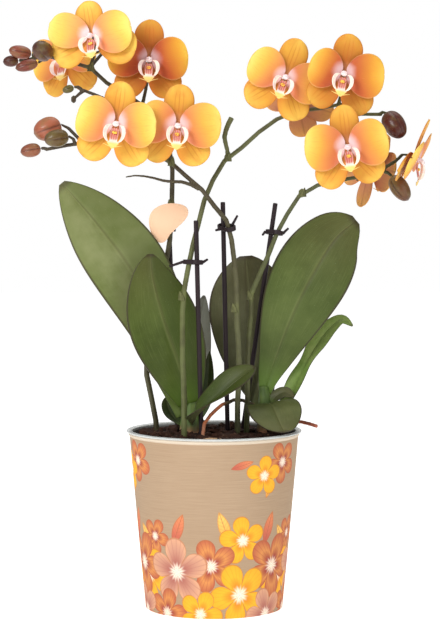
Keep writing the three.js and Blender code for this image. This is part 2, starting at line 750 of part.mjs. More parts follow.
// The band's middle, its long axis across and the way it faces along its stem
function makeBand(stemPoint, stakePoint, direction) {
  const reach = stemPoint.distanceTo(stakePoint);
  const inner = stemRadius + bandClearance;
  const shape = oval(reach, inner + bandWall);
  shape.holes.push(oval(reach, inner));
  const band = new THREE.ExtrudeGeometry(shape, {
    depth: bandHeight, bevelEnabled: false, curveSegments: 3,
  });
  band.translate(0, 0, -bandHeight / 2);
  const across = stakePoint.clone().sub(stemPoint).normalize();
  const along = vector(direction);
  along.addScaledVector(across, -along.dot(across)).normalize();
  const middle = stemPoint.clone().lerp(stakePoint, 0.5);
  const frame = new THREE.Matrix4().makeBasis(across, along.clone().cross(across), along);
  band.applyMatrix4(frame.setPosition(middle));
  return { solid: toSolid(band), middle, across, along, halfReach: reach / 2, inner };
}

function makeClip(clip) {
  const stakePoint = stakeAt(stakes[clip.stake], clip.height);
  const band = makeBand(vector(clip.stem), stakePoint, clip.along);
  const parts = [band.solid];
  for (const tip of clip.arms) {
    const outward = vector(tip).sub(band.middle);
    outward.addScaledVector(band.along, -outward.dot(band.along)).normalize();
    const shift = Math.abs(outward.dot(band.across)) * band.halfReach;
    const distance = shift + band.inner + bandWall / 2;
    const root = band.middle.clone().addScaledVector(outward, distance);
    parts.push(stem([root.toArray(), tip], (t) => 1.1 - 0.25 * t, 4, 1));
  }
  return fuse(parts);
}

// Plant tag: a blank rounded drop with a band at its back round the first spike and its stake

const tagCentre = [-31, 4, 264];
const tagThickness = 0.9;
const tagBand = { stem: [-30.2, 7.5, 259], along: [0, 0, 1], stake: 3, height: 259 };

function makeTag() {
  const outline = new THREE.Shape();
  outline.moveTo(-6, -14);
  outline.bezierCurveTo(-11, -13, -13.5, -4, -13.5, 1);
  outline.bezierCurveTo(-13.5, 9, -6, 12.5, 1, 13);
  outline.bezierCurveTo(8, 13.2, 13.5, 11.5, 13.5, 7);
  outline.bezierCurveTo(13.5, 1, 4, -4, 0.5, -9);
  outline.bezierCurveTo(-1, -12, -3, -14.4, -6, -14);
  const plate = new THREE.ExtrudeGeometry(outline, {
    depth: tagThickness, bevelEnabled: false, curveSegments: 4,
  });
  plate.rotateX(Math.PI / 2);
  plate.translate(...tagCentre);
  const stakePoint = stakeAt(stakes[tagBand.stake], tagBand.height);
  const band = makeBand(vector(tagBand.stem), stakePoint, tagBand.along);
  return fuse([toSolid(plate), band.solid]);
}

// Bark: a filling with loose-looking chunks on top, and a plain hole for each stem and stake

function seededRandom(seed) {
  let state = seed;
  return () => {
    state = (state * 1664525 + 1013904223) % 4294967296;
    return state / 4294967296;
  };
}

function makeBark() {
  const flatness = Math.cos(Math.PI / potSides);
  const edge = potInnerRadius(barkEdgeHeight) * flatness - gap;
  const foot = potWall + gap;
  const parts = [turned([
    [0, foot],
    [potInnerRadius(foot) * flatness - gap, foot],
    [edge, barkEdgeHeight],
    [edge * 0.6, barkMiddleHeight - 2],
    [0, barkMiddleHeight],
  ], 16)];
  const random = seededRandom(11);
  for (let i = 0; i < chunkCount; i += 1) {
    const turn = i * 2.39996 + random();
    const size = chunkSize[0] + (chunkSize[1] - chunkSize[0]) * random();
    const reach = (edge - size * 0.75) * Math.sqrt((i + 0.5) / chunkCount);
    const chunk = new THREE.BoxGeometry(size, size * 0.7, size * 0.45);
    chunk.rotateX((random() - 0.5) * 1.1);
    chunk.rotateY((random() - 0.5) * 1.1);
    chunk.rotateZ(random() * Math.PI);
    const fall = (barkMiddleHeight - barkEdgeHeight) * (reach / edge) ** 2;
    chunk.translate(reach * Math.cos(turn), reach * Math.sin(turn), barkMiddleHeight - fall + 0.5);
    parts.push(toSolid(chunk));
  }
  let bark = fuse(parts);
  for (const spike of spikes) {
    const route = lengthened(spike.main.slice(0, 4), gap);
    bark = bark.subtract(stem(route, () => stemRadius + 3 * gap, 6, 3));
  }
  for (const stake of stakes) {
    const [foot, top] = lengthened([stake.foot, stake.top], gap);
    const hole = [foot, stakeAt(stake, sleeveHeight + 20).toArray()];
    bark = bark.subtract(stem(hole, () => stakeRadius + 2 * gap, 6, 1));
  }
  for (const crown of Object.values(crowns)) {
    bark = bark.subtract(makeCrown(crown, 1.5 * gap));
  }
  return mainBody(bark);
}

// The whole plant, from the table upwards

addPiece('nursery_pot', makeNurseryPot(), finishes.clear());
addPiece('pot_sleeve', makeSleeve(), finishes.paper());
addPiece('bark', makeBark(), finishes.bark());
addPiece('crown_left', makeCrown(crowns.left, 0), finishes.crown());
addPiece('crown_right', makeCrown(crowns.right, 0), finishes.crown());
leaves.forEach((leaf, i) => addPiece(`leaf_${i + 1}`, makeLeaf(leaf), finishes.leaf()));
spikes.forEach((spike, i) => addPiece(`spike_${i + 1}`, makeSpike(spike), finishes.stem()));
stakes.forEach((stake, i) => addPiece(`stake_${i + 1}`, makeStake(stake), finishes.stake()));
clips.forEach((clip, i) => addPiece(`clip_${i + 1}`, makeClip(clip), finishes.stake()));
addPiece('plant_tag', makeTag(), finishes.tag());
buds.forEach((bud, i) => addPiece(`bud_${i + 1}`, makeBud(bud), finishes.bud()));

const lipSolid = makeLip();

function placed(solid, bloom) {
  const geometry = toGeometry(solid);
  geometry.applyMatrix4(bloomFrame(bloom));
  return toSolid(geometry);
}

blooms.forEach((bloom, i) => {
  const tepalSolid = makeTepals(bloom.turns ?? tepalTurns);
  addPiece(`bloom_${i + 1}`, placed(tepalSolid, bloom), finishes.bloom());
  addPiece(`lip_${i + 1}`, placed(lipSolid, bloom), finishes.lip());
});

export default plant;
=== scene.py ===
import math
import random
from bisect import bisect_right

import bpy
from mathutils import Matrix, Vector


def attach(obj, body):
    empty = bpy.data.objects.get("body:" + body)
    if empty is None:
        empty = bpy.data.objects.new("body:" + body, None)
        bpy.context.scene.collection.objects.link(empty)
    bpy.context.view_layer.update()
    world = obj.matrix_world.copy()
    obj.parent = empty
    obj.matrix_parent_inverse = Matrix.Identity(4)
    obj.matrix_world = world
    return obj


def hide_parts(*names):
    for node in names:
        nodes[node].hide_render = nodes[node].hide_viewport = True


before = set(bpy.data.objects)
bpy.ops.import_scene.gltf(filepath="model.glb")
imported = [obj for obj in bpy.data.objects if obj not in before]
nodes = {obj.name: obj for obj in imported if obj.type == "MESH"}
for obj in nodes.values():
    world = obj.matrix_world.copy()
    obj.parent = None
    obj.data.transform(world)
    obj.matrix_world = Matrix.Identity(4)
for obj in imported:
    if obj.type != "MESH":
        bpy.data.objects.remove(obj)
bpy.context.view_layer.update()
mm = 0.001


def operator(operation, swapped=False):
    def run(wire, other):
        return wire.finish.math(operation, *((other, wire) if swapped else (wire, other)))
    return run


# A wire is a socket that can be used in Python expressions, which add its Math nodes
class Wire:
    __add__, __radd__ = operator("ADD"), operator("ADD", True)
    __sub__, __rsub__ = operator("SUBTRACT"), operator("SUBTRACT", True)
    __mul__, __rmul__ = operator("MULTIPLY"), operator("MULTIPLY", True)
    __truediv__, __pow__ = operator("DIVIDE"), operator("POWER")

    def __init__(self, finish, socket):
        self.finish = finish
        self.socket = socket

    def __neg__(self):
        return self * -1.0

    def __abs__(self):
        return self.finish.math("ABSOLUTE", self)


def tint(code):
    parts = [int(code[i:i + 2], 16) / 255 for i in (1, 3, 5)]
    linear = [c / 12.92 if c <= 0.04045 else ((c + 0.055) / 1.055) ** 2.4 for c in parts]
    return (*linear, 1.0)


# A finish is one material: its values and links are given to a Principled shader
class Finish:
    def __init__(self, name, **fixed):
        self.material = bpy.data.materials.new(name)
        self.material.use_nodes = True
        self.tree = self.material.node_tree
        self.tree.nodes.clear()
        self.shader = self.tree.nodes.new("ShaderNodeBsdfPrincipled")
        self.output = self.tree.nodes.new("ShaderNodeOutputMaterial")
        self.tree.links.new(self.shader.outputs[0], self.output.inputs["Surface"])
        self.paint(**fixed)

    def plug(self, socket, value):
        if isinstance(value, Wire):
            self.tree.links.new(value.socket, socket)
        else:
            socket.default_value = value

    def paint(self, **looks):
        for key, value in looks.items():
            self.plug(self.shader.inputs[key.replace("_", " ")], value)
        return self.material

    def node(self, kind, settings=None, inputs=None, output=0):
        made = self.tree.nodes.new(kind)
        for key, value in (settings or {}).items():
            if key == "stops":
                self.setStops(made.color_ramp, value)
            else:
                setattr(made, key, value)
        for key, value in (inputs or {}).items():
            self.plug(made.inputs[key], value)
        return Wire(self, made.outputs[output])

    def setStops(self, ramp, stops):
        while len(ramp.elements) > 1:
            ramp.elements.remove(ramp.elements[-1])
        ramp.elements[0].position, ramp.elements[0].color = stops[0]
        for place, color in stops[1:]:
            ramp.elements.new(place).color = color

    def math(self, operation, *values):
        return self.node("ShaderNodeMath", {"operation": operation}, dict(enumerate(values)))

    def ramp(self, value, *stops):
        stops = [(place, tint(color)) for place, color in stops]
        return self.node("ShaderNodeValToRGB", {"stops": stops}, {"Fac": value})

    def step(self, value, low, high):  # smooth 0 to 1
        settings = {"interpolation_type": "SMOOTHSTEP"}
        return self.node("ShaderNodeMapRange", settings, {0: value, 1: low, 2: high, 3: 0.0, 4: 1.0})

    def fall(self, value, low, high):  # smooth 1 to 0
        return 1 - self.step(value, low, high)

    def mix(self, share, first, second):
        first, second = (tint(c) if isinstance(c, str) else c for c in (first, second))
        settings = {"data_type": "RGBA", "clamp_factor": True}
        return self.node("ShaderNodeMix", settings, {0: share, 6: first, 7: second}, 2)

    def layers(self, color, *layers):  # each is (share, over) or (value, low, high, share, over)
        for *value, share, over in layers:
            color = self.mix(self.step(*value) * share if value else share, color, over)
        return color

    def noise(self, place, scale, detail=3.0, rough=0.5, distort=0.0):
        inputs = {"Vector": place, "Scale": scale, "Detail": detail, "Roughness": rough,
                  "Distortion": distort}
        return self.node("ShaderNodeTexNoise", {"normalize": True}, inputs)

    def here(self):
        return self.node("ShaderNodeTexCoord", None, None, 3)

    def attribute(self, name, output=2):  # 0 a color, 1 a vector, 2 a number
        return self.node("ShaderNodeAttribute", {"attribute_name": name}, None, output)

    def split(self, place, count=3):
        made = self.tree.nodes.new("ShaderNodeSeparateXYZ")
        self.tree.links.new(place.socket, made.inputs[0])
        return [Wire(self, made.outputs[i]) for i in range(count)]

    def ownMap(self):  # the piece's own map: u from base to tip, v across
        return self.split(self.node("ShaderNodeUVMap", {"uv_map": "map"}), 2)

    def join(self, x, y, z=0.0):
        return self.node("ShaderNodeCombineXYZ", None, {0: x, 1: y, 2: z})

    def grain(self, wide, long, detail=3.0, rough=0.5):  # noise drawn out along z
        place = self.node("ShaderNodeMapping", None, {"Vector": self.here(), "Scale": (wide, wide, long)})
        return self.noise(place, 1.0, detail, rough)

    def bump(self, height, strength, distance):
        inputs = {"Height": height, "Strength": strength, "Distance": distance}
        self.paint(Normal=self.node("ShaderNodeBump", None, inputs))

    def done(self, color, roughness, height, strength, distance, **looks):  # the last three are the bump's
        self.bump(height, strength, distance)
        return self.paint(Base_Color=color, Roughness=roughness, **looks)


# Modelling helpers
def clearSelection():
    if bpy.context.object and bpy.context.object.mode != "OBJECT":
        bpy.ops.object.mode_set(mode="OBJECT")
    bpy.ops.object.select_all(action="DESELECT")


def pick(*pieces):
    clearSelection()
    for piece in pieces:
        piece.select_set(True)
    bpy.context.view_layer.objects.active = pieces[0]


def begin(name, addShape, **settings):
    clearSelection()
    addShape(**settings)
    piece = bpy.context.object
    piece.name = piece.data.name = name
    return piece


def copied(source, name):
    piece = source.copy()
    piece.data = source.data.copy()
    piece.name = piece.data.name = name
    bpy.context.scene.collection.objects.link(piece)
    return piece


def editAll():
    bpy.ops.object.mode_set(mode="EDIT")
    bpy.ops.mesh.select_all(action="SELECT")


def editDone():
    bpy.ops.object.mode_set(mode="OBJECT")


def modify(piece, kind, **settings):
    pick(piece)
    modifier = piece.modifiers.new(kind.lower(), kind)
    for key, value in settings.items():
        setattr(modifier, key, value)
    bpy.ops.object.modifier_apply(modifier=modifier.name)


def bevel(piece, width, segments):
    modify(piece, "BEVEL", width=width * mm, segments=segments, limit_method="ANGLE",
           angle_limit=math.radians(60))


def settle(piece):
    pick(piece)
    bpy.ops.object.transform_apply(location=True, rotation=True, scale=True)


def outward(piece, merge=0.00001):
    pick(piece)
    editAll()
    bpy.ops.mesh.remove_doubles(threshold=merge)
    bpy.ops.mesh.normals_make_consistent(inside=False)
    editDone()


def smooth(piece, degrees=None):
    pick(piece)
    if degrees:
        bpy.ops.object.shade_smooth_by_angle(angle=math.radians(degrees))
    else:
        bpy.ops.object.shade_smooth()


def joined(name, pieces):
    pick(*pieces)
    bpy.ops.object.join()
    pieces[0].name = pieces[0].data.name = name
    return pieces[0]


def dress(piece, materials, replaced):  # no materials: the piece keeps what it has
    if materials:
        piece.data.materials.clear()
    for material in materials:
        piece.data.materials.append(material)
    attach(piece, "root")
    if replaced:
        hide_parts(replaced)


def setData(piece, name, kind, values):  # one value for each point, or a single one for all
    if not isinstance(values, list):
        values = [values] * len(piece.data.vertices)
    key = {"FLOAT": "value", "FLOAT_VECTOR": "vector", "FLOAT_COLOR": "color"}[kind]
    layer = piece.data.attributes.get(name) or piece.data.attributes.new(name, kind, "POINT")
    layer.data.foreach_set(key, values if kind == "FLOAT" else [x for value in values for x in value])


# Smooth route through points (centripetal, as a given midrib runs)
class Route:
    def __init__(self, points, steps=400):
        pts = [Vector(p) for p in points]
        pts = [pts[0] * 2 - pts[1], *pts, pts[-1] * 2 - pts[-2]]
        self.places = []
        spans = len(pts) - 3
        for i in range(steps + 1):
            place = min(i / steps * spans, spans - 1e-6)
            k = int(place)
            self.places.append(self.blend(pts[k:k + 4], place - k))
        self.far = [0.0]
        for a, b in zip(self.places, self.places[1:]):
            self.far.append(self.far[-1] + (b - a).length)

    def blend(self, pts, t):
        a, b, c, d = pts
        knots = [0.0]
        for p, q in ((a, b), (b, c), (c, d)):
            knots.append(knots[-1] + max((q - p).length ** 0.5, 1e-6))
        t = knots[1] + t * (knots[2] - knots[1])

        def lerp(p, q, i, j):
            return p + (q - p) * ((t - knots[i]) / (knots[j] - knots[i]))

        ab, bc, cd = lerp(a, b, 0, 1), lerp(b, c, 1, 2), lerp(c, d, 2, 3)
        abc = ab + (bc - ab) * ((t - knots[0]) / (knots[2] - knots[0]))
        bcd = bc + (cd - bc) * ((t - knots[1]) / (knots[3] - knots[1]))
        return abc + (bcd - abc) * ((t - knots[1]) / (knots[2] - knots[1]))

    def at(self, u):
        want = min(max(u, 0.0), 1.0) * self.far[-1]
        low = min(bisect_right(self.far, want), len(self.far) - 1) - 1
        share = (want - self.far[low]) / max(self.far[low + 1] - self.far[low], 1e-9)
        return self.places[low].lerp(self.places[low + 1], min(share, 1.0))

    def along(self, u):
        return (self.at(min(u + 0.004, 1)) - self.at(max(u - 0.004, 0))).normalized()


# A grid laid out by place(u, v): u 0..1 from base to tip, v -1..1 across
def sheetPiece(name, rows, columns, place):
    piece = begin(name, bpy.ops.mesh.primitive_grid_add, x_subdivisions=columns, y_subdivisions=rows, size=2,
                  calc_uvs=True)
    piece.data.uv_layers[0].name = "map"
    for vertex in piece.data.vertices:
        vertex.co = place((vertex.co.y + 1) / 2, vertex.co.x)
    piece.data.update()
    return piece


def setSpots(piece):  # each point's place in its own bloom, for the finishes; 1 stands for 33 mm
    setData(piece, "spot", "FLOAT_VECTOR", [v.co * 0.03 for v in piece.data.vertices])


def remap(piece, change):  # the map's two numbers become change(first, second)
    for loop in piece.data.uv_layers[0].data:
        loop.uv = change(*loop.uv)


# A tapered tube along a route
def tubePiece(name, route, radiusAt, sides, rings):
    piece = begin(name, bpy.ops.mesh.primitive_cylinder_add, vertices=sides, radius=1, depth=1,
                  end_fill_type="NGON")
    bpy.ops.object.mode_set(mode="EDIT")
    bpy.ops.mesh.select_all(action="DESELECT")
    editDone()
    for edge in piece.data.edges:
        a, b = (piece.data.vertices[i].co for i in edge.vertices)
        edge.select = abs(a.z - b.z) > 0.5
    bpy.ops.object.mode_set(mode="EDIT")
    bpy.ops.mesh.subdivide_edgering(number_cuts=rings - 1)
    editDone()
    guide = Vector((0.13, 0.31, 0.94))  # no tube runs along it
    for vertex in piece.data.vertices:
        u = vertex.co.z + 0.5
        axis = route.along(u)
        side = (guide - axis * guide.dot(axis)).normalized()
        other = axis.cross(side)
        spot = Vector((vertex.co.x, vertex.co.y)).length * radiusAt(u)
        turn = math.atan2(vertex.co.y, vertex.co.x)
        vertex.co = (route.at(u) + (side * math.cos(turn) + other * math.sin(turn)) * spot) * mm
    piece.data.update()
    return piece


# Camera, light and floor
view = {
    "place": (4.1, -1560, 300), "down": 3.59, "lens": 131.5,
    "floor": ("#FBFBFA", "#F6F6F5"), "floorLight": 0.66, "ambient": 0.42,
    "lamps": {  # place mm, width mm, watts
        "key": ((-750, -1150, 900), 600, 14.0),
        "fill": ((950, -1000, 450), 900, 4.0),
        "top": ((100, 200, 1300), 800, 5.0),
    },
}


def makeStudio():
    scene = bpy.context.scene
    scene.view_settings.view_transform = "Standard"
    data = bpy.data.cameras.new("camera")
    data.lens = view["lens"]
    data.sensor_width = 36
    data.clip_end = 20
    camera = bpy.data.objects.new("camera", data)
    scene.collection.objects.link(camera)
    camera.location = Vector(view["place"]) * mm
    camera.rotation_euler = (math.radians(90 - view["down"]), 0, 0)
    scene.camera = camera
    scene.world = bpy.data.worlds.new("studio")
    scene.world.use_nodes = True
    tree = scene.world.node_tree
    sky = tree.nodes["Background"]
    sky.inputs["Color"].default_value = (1, 1, 1, 1)
    ray = tree.nodes.new("ShaderNodeLightPath")  # white behind the plant, softer light round it
    level = tree.nodes.new("ShaderNodeMapRange")
    level.inputs["To Min"].default_value = view["ambient"]
    level.inputs["To Max"].default_value = 1.0
    tree.links.new(ray.outputs["Is Camera Ray"], level.inputs["Value"])
    tree.links.new(level.outputs["Result"], sky.inputs["Strength"])
    for name, (place, width, power) in view["lamps"].items():
        light = bpy.data.lights.new(name, "AREA")
        light.size = width * mm
        light.energy = power
        lamp = bpy.data.objects.new(name, light)
        scene.collection.objects.link(lamp)
        lamp.location = Vector(place) * mm
        aim = Vector((0, 0, 240)) * mm - lamp.location
        lamp.rotation_euler = aim.to_track_quat("-Z", "Y").to_euler()
    floor = begin("floor", bpy.ops.mesh.primitive_grid_add, x_subdivisions=40, y_subdivisions=40, size=8,
                  location=(0, 0, -0.0002))
    settle(floor)
    look = Finish("paleFloor", Roughness=0.9, Emission_Color=(1, 1, 1, 1), Emission_Strength=view["floorLight"])
    look.paint(Base_Color=look.mix(look.noise(look.here(), 3.0, 4.0), *view["floor"]))
    floor.data.materials.append(look.material)


# Pot sleeve: tapered kraft paper with a rolled cream edge and a printed border of simple blossoms
sleeve = {
    "height": 121, "foot": 47, "top": 57.8, "wall": 0.7, "rimHeight": 2.4, "roll": 0.9, "belly": 0.25,
    "sides": 180, "repeats": 3, "girth": 329, "rimFoot": (117.9, 118.5),  # mm, the girth at half height
    "kraft": ("#957A5F", "#AE957A"), "fibres": ("#BCA387", "#8F6F50", "#9E8266"), "rim": "#CFC0AC",
    "outline": "#A9663C", "cleft": "#A35A34", "heart": "#FCF0DC", "dots": "#C0573A", "rib": "#A4603F",
    "petals": {  # from the middle of a blossom to its edge
        "yellow": ((0.0, "#F9EFC8"), (0.25, "#DD8A26"), (0.55, "#EDB02E"), (1.0, "#EBA42A")),
        "peach": ((0.0, "#EACBB4"), (0.22, "#A8665A"), (0.6, "#C48E76"), (1.0, "#D8A480")),
        "rust": ((0.0, "#EFC79A"), (0.22, "#9A4038"), (0.55, "#D08A4E"), (1.0, "#AE5240")),
    },
    "leaves": {"gold": ("#E6A04A", "#F0BE62"), "brick": ("#B9584C", "#D98458")},
    "blossoms": [  # place mm, radius, roll and color, the last drawn on top
        ((-45, 54), 13, 0.2, "rust"), ((20, 53), 17, 0.8, "yellow"), ((-54, 27), 21, 0.3, "yellow"),
        ((46, 34), 23, 1.4, "rust"), ((-2, 36), 19, 1.9, "rust"), ((-27, 31), 24, 0.9, "peach"),
        ((19, 16), 23, 0.5, "yellow"), ((-38, 2), 18, 1.2, "rust"), ((-10, 3), 17, 0.1, "yellow"),
        ((43, 1), 19, 0.6, "peach"),
        ((50, 104), 15, 0.4, "rust"), ((34, 96), 14, 1.0, "yellow"),
    ],
    "sprigs": [
        ((-25, 60), 12, 1.2, "brick"), ((7, 62), 12, 1.9, "gold"), ((40, 60), 12, 1.3, "brick"),
        ((-54, 52), 12, 2.2, "gold"), ((18, 104), 8, 0.3, "brick"), ((39, 88), 8, 1.2, "gold"),
    ],
}


def spun(name, profile, sides):  # profile is a closed loop of [radius, height] in mm
    piece = begin(name, bpy.ops.mesh.primitive_circle_add, vertices=len(profile), radius=1)
    for vertex, (radius, height) in zip(piece.data.vertices, profile):
        vertex.co = Vector((radius, 0, height)) * mm
    editAll()
    bpy.ops.mesh.spin(steps=sides, angle=2 * math.pi, center=(0, 0, 0), axis=(0, 0, 1))
    editDone()
    outward(piece)
    return piece


def mapRound(piece):  # u is the turn round the pot 0..1, v the height in mm / 100
    kept = piece.data.uv_layers.new(name="map")
    for polygon in piece.data.polygons:
        base = math.atan2(polygon.center.x, -polygon.center.y)
        for loop in polygon.loop_indices:
            co = piece.data.vertices[piece.data.loops[loop].vertex_index].co
            turn = math.atan2(co.x, -co.y)
            turn += round((base - turn) / (2 * math.pi)) * 2 * math.pi
            kept.data[loop].uv = (turn / (2 * math.pi), co.z * 10)


def fromMotif(look, turn, up, place, size):  # x and y from a motif's middle, in its own sizes
    cell = sleeve["girth"] / sleeve["repeats"]
    wrapped = look.math("FRACT", turn * sleeve["repeats"] + (0.5 - place[0] / cell)) - 0.5
    return wrapped * (cell / size), (up - place[1]) / size


def blossom(look, turn, up, motif, under):
    place, size, roll, kind = motif
    colors = sleeve["petals"][kind]
    px, py = fromMotif(look, turn, up, place, size)
    near = look.math("SQRT", px * px + py * py)
    angle = look.math("ARCTAN2", py, px) + roll
    petal = abs(look.math("COSINE", angle * 2.5))  # five petals
    reach = near / (0.4 + petal ** 0.5 * 0.6)
    vein = look.math("SINE", angle * 35 + petal * 4)
    cleft = look.fall(petal, 0.02, 0.2) * look.step(reach, 0.3, 0.7)
    burst = look.fall(near + look.math("SINE", angle * 15) * 0.05, 0.05, 0.3)
    dots = look.math("SINE", angle * 10) * look.math("SINE", near * 70)
    body = look.layers(
        look.ramp(reach - (petal - 0.5) * 0.12, *colors),
        (vein, 0.6, 1.0, look.step(reach, 0.2, 0.5) * 0.3, colors[1][1]),
        (reach, 0.92, 0.96, 0.6, sleeve["outline"]),
        (cleft * 0.6, sleeve["cleft"]),
        (burst * 0.85, sleeve["heart"]),
        (dots, 0.5, 0.8, look.fall(near, 0.1, 0.15), sleeve["dots"]))
    return look.mix(look.fall(reach, 0.97, 1.0), under, body)


def sprig(look, turn, up, motif, under):
    place, size, roll, kind = motif
    px, py = fromMotif(look, turn, up, place, size)
    c, s = math.cos(roll), math.sin(roll)
    lx, ly = px * c + py * s, py * c - px * s
    past = abs(ly) - (1 - lx * lx) * 0.34  # how far outside the leaf's edge
    ribs = look.step(look.math("SINE", lx * 26 - abs(ly) * 24), 0.6, 1.0) * 0.25
    body = look.layers(
        look.mix(look.step(lx, -1.0, 1.0), *sleeve["leaves"][kind]),
        (ribs + look.fall(abs(ly), 0.01, 0.035) * 0.6, sleeve["rib"]),
        (past, -0.09, -0.05, 0.5, sleeve["outline"]))
    return look.mix(look.fall(past, -0.03, 0.01), under, body)


def kraftPrint():
    look = Finish("kraftPaper", Specular_IOR_Level=0.3)
    turn, height = look.ownMap()
    across, up = turn * sleeve["girth"], height * 100.0  # mm
    grain = look.noise(look.join(turn * 14, up * 2.2), 1.0, 5.0, 0.62)
    streak = look.noise(look.join(turn * 5, up * 3.4, 3.0), 1.0, 3.0, 0.7)
    fleck = look.noise(look.join(across * 0.35, up * 3.2, 7.0), 1.0, 2.0)
    cloud = look.noise(look.join(turn * 9, up * 0.03, 5.0), 1.0)
    pale, dark, dull = sleeve["fibres"]
    paper = look.mix(0.5, sleeve["kraft"][1], look.mix(look.step(grain, 0.3, 0.72), *sleeve["kraft"]))
    art = paper = look.layers(paper, (streak, 0.5, 0.75, 0.3, pale), (fleck, 0.64, 0.74, 0.3, dark),
                              (cloud, 0.4, 0.7, 0.18, dull))
    for motif in sleeve["sprigs"]:
        art = sprig(look, turn, up, motif, art)
    for motif in sleeve["blossoms"]:
        art = blossom(look, turn, up, motif, art)
    worn = look.noise(look.join(across * 0.9, up * 0.9, 2.0), 1.0, 4.0, 0.6)
    art = look.layers(art, (worn, 0.6, 0.8, 0.2, paper), (look.step(up, *sleeve["rimFoot"]), sleeve["rim"]))
    return look.done(art, 0.72 + grain * 0.2, grain * 0.6 + streak * 0.6 + fleck * 0.3, 0.25, 0.0003)


def makeSleeve():
    foot, top, height, roll = (sleeve[k] for k in ("foot", "top", "height", "roll"))
    inTop, inFoot, rimFoot = top - sleeve["wall"], foot - sleeve["wall"], height - sleeve["rimHeight"]
    profile = [[foot - 0.1, 0]]
    for i in range(13):  # the wall, with a slight belly as paper has
        t = (i + 0.15) / 12.15
        profile.append([foot + (top - foot) * t + sleeve["belly"] * math.sin(math.pi * t), rimFoot * t])
    radius = sleeve["rimHeight"] / 2
    for i in range(9):
        turn = -math.pi / 2 + math.pi * i / 8
        profile.append([top + 0.05 + roll * math.cos(turn), height - radius + radius * math.sin(turn)])
    profile += [[inTop + 0.1, height - 0.15], [inTop, height - 0.6], [inTop, rimFoot], [inFoot, 0]]
    piece = spun("paperSleeve", profile, sleeve["sides"])
    mapRound(piece)
    smooth(piece, 50)
    dress(piece, [kraftPrint()], "pot_sleeve")


# Nursery pot: thin clear plastic with a flange over the sleeve's edge
pot = {
    "flange": 60, "flangeUnder": 121.3, "thickness": 0.9, "wall": 0.8, "gap": 0.3, "rimFoot": 118.6,
    "sides": 128, "plastic": ("#E9ECEA", "#D6DBD9"), "lowDark": "#3A2A20", "lowDarkTop": (1.2, 1.225),
}


def potLook():
    look = Finish("clearPlastic", IOR=1.46)
    cloud = look.noise(look.here(), 60.0)
    turn, height = look.ownMap()
    ribs = look.math("SINE", turn * 2 * math.pi * 60)
    lowDarkening = look.fall(height + cloud * 0.02, *pot["lowDarkTop"])  # darker and less clear below the flange
    color = look.mix(lowDarkening * 0.85, look.mix(cloud, *pot["plastic"]), pot["lowDark"])
    return look.done(color, 0.12, ribs * 0.4 + cloud * 0.6, 0.1, 0.0003,
                     Alpha=0.5 + cloud * 0.25 + lowDarkening * 0.25)


def makePot():
    clear = pot["gap"] + sleeve["wall"]
    foot, top, rimFoot = sleeve["foot"] - clear, sleeve["top"] - clear, pot["rimFoot"]
    under, wall, flange = pot["flangeUnder"], pot["wall"], pot["flange"]
    over = under + pot["thickness"]
    profile = [[foot - 1, 0], [foot - 0.2, 0.4], [foot, 1.4], [(foot + top) / 2, rimFoot / 2], [top, rimFoot],
               [top, under - 0.5], [top + 0.5, under], [flange - 1, under], [flange - 0.4, under - 0.5],
               [flange, under - 0.3], [flange, under + 0.4], [flange - 0.5, over - 0.1],
               [flange - 1.5, over], [top + 0.2, over], [top - wall, over - 0.5], [top - wall, rimFoot],
               [(foot + top) / 2 - wall, rimFoot / 2], [foot - wall, 1.8], [foot - wall - 1, wall],
               [0.02, wall], [0.02, 0]]
    piece = spun("clearPot", profile, pot["sides"])
    mapRound(piece)
    smooth(piece, 40)
    dress(piece, [potLook()], "nursery_pot")


# Bark: a dark heap with loose chips on top
bark = {
    "edge": 116.6, "middle": 119.2, "radius": 54.8, "chips": 260, "seed": 5,
    "heap": 55.2, "heapFoot": 45, "heapDrop": 2.2, "floor": 1.2,  # the heap under the chips, mm
    "dark": ((0.3, "#120A07"), (0.5, "#2A1710"), (0.72, "#543524")), "warm": "#4A2B1B", "pale": "#9A7C62",
    "root": ((0.3, "#8A7A54"), (0.5, "#B0A07C"), (0.7, "#C6BC9E")),
    "strands": [  # thin pale roots on the chips: course in mm and radius
        ([(-50, -14, 117.6), (-44, -27, 120.6), (-33, -37, 121.2), (-20, -47, 119.6), (-12, -52, 117.2)], 0.8),
        ([(-36, -38, 118), (-27, -34, 121.8), (-16, -37, 121.8), (-6, -45, 119.2)], 0.6),
        ([(-2, -50, 117.5), (6, -42, 121.2), (15, -39, 121.8), (24, -45, 119)], 0.7),
        ([(30, 40, 118), (12, 47, 121), (-8, 46, 121), (-26, 42, 118)], 0.8),
    ],
}


def chipLook():
    look = Finish("barkChips", Specular_IOR_Level=0.25)
    here = look.here()
    each = look.attribute("tone")  # 0..1 for a chip, 3 for a root
    grain = look.grain(900, 260, 5.0, 0.65)
    patch = look.noise(here, 190.0)
    color = look.layers(
        look.ramp(grain * 0.6 + patch * 0.4, *bark["dark"]),
        (look.math("MINIMUM", each, 1.0) * 0.45, bark["warm"]),
        (look.noise(here, 420.0, 2.0), 0.64, 0.72, 0.3, bark["pale"]),
        (look.step(each, 1.5, 2.5), look.ramp(patch, *bark["root"])))
    return look.done(color, 0.75 + grain * 0.25, grain + patch * 0.5, 0.7, 0.0006)


def barkHeight(share):  # share of the way from the middle to the edge
    return bark["middle"] - (bark["middle"] - bark["edge"]) * share ** 2


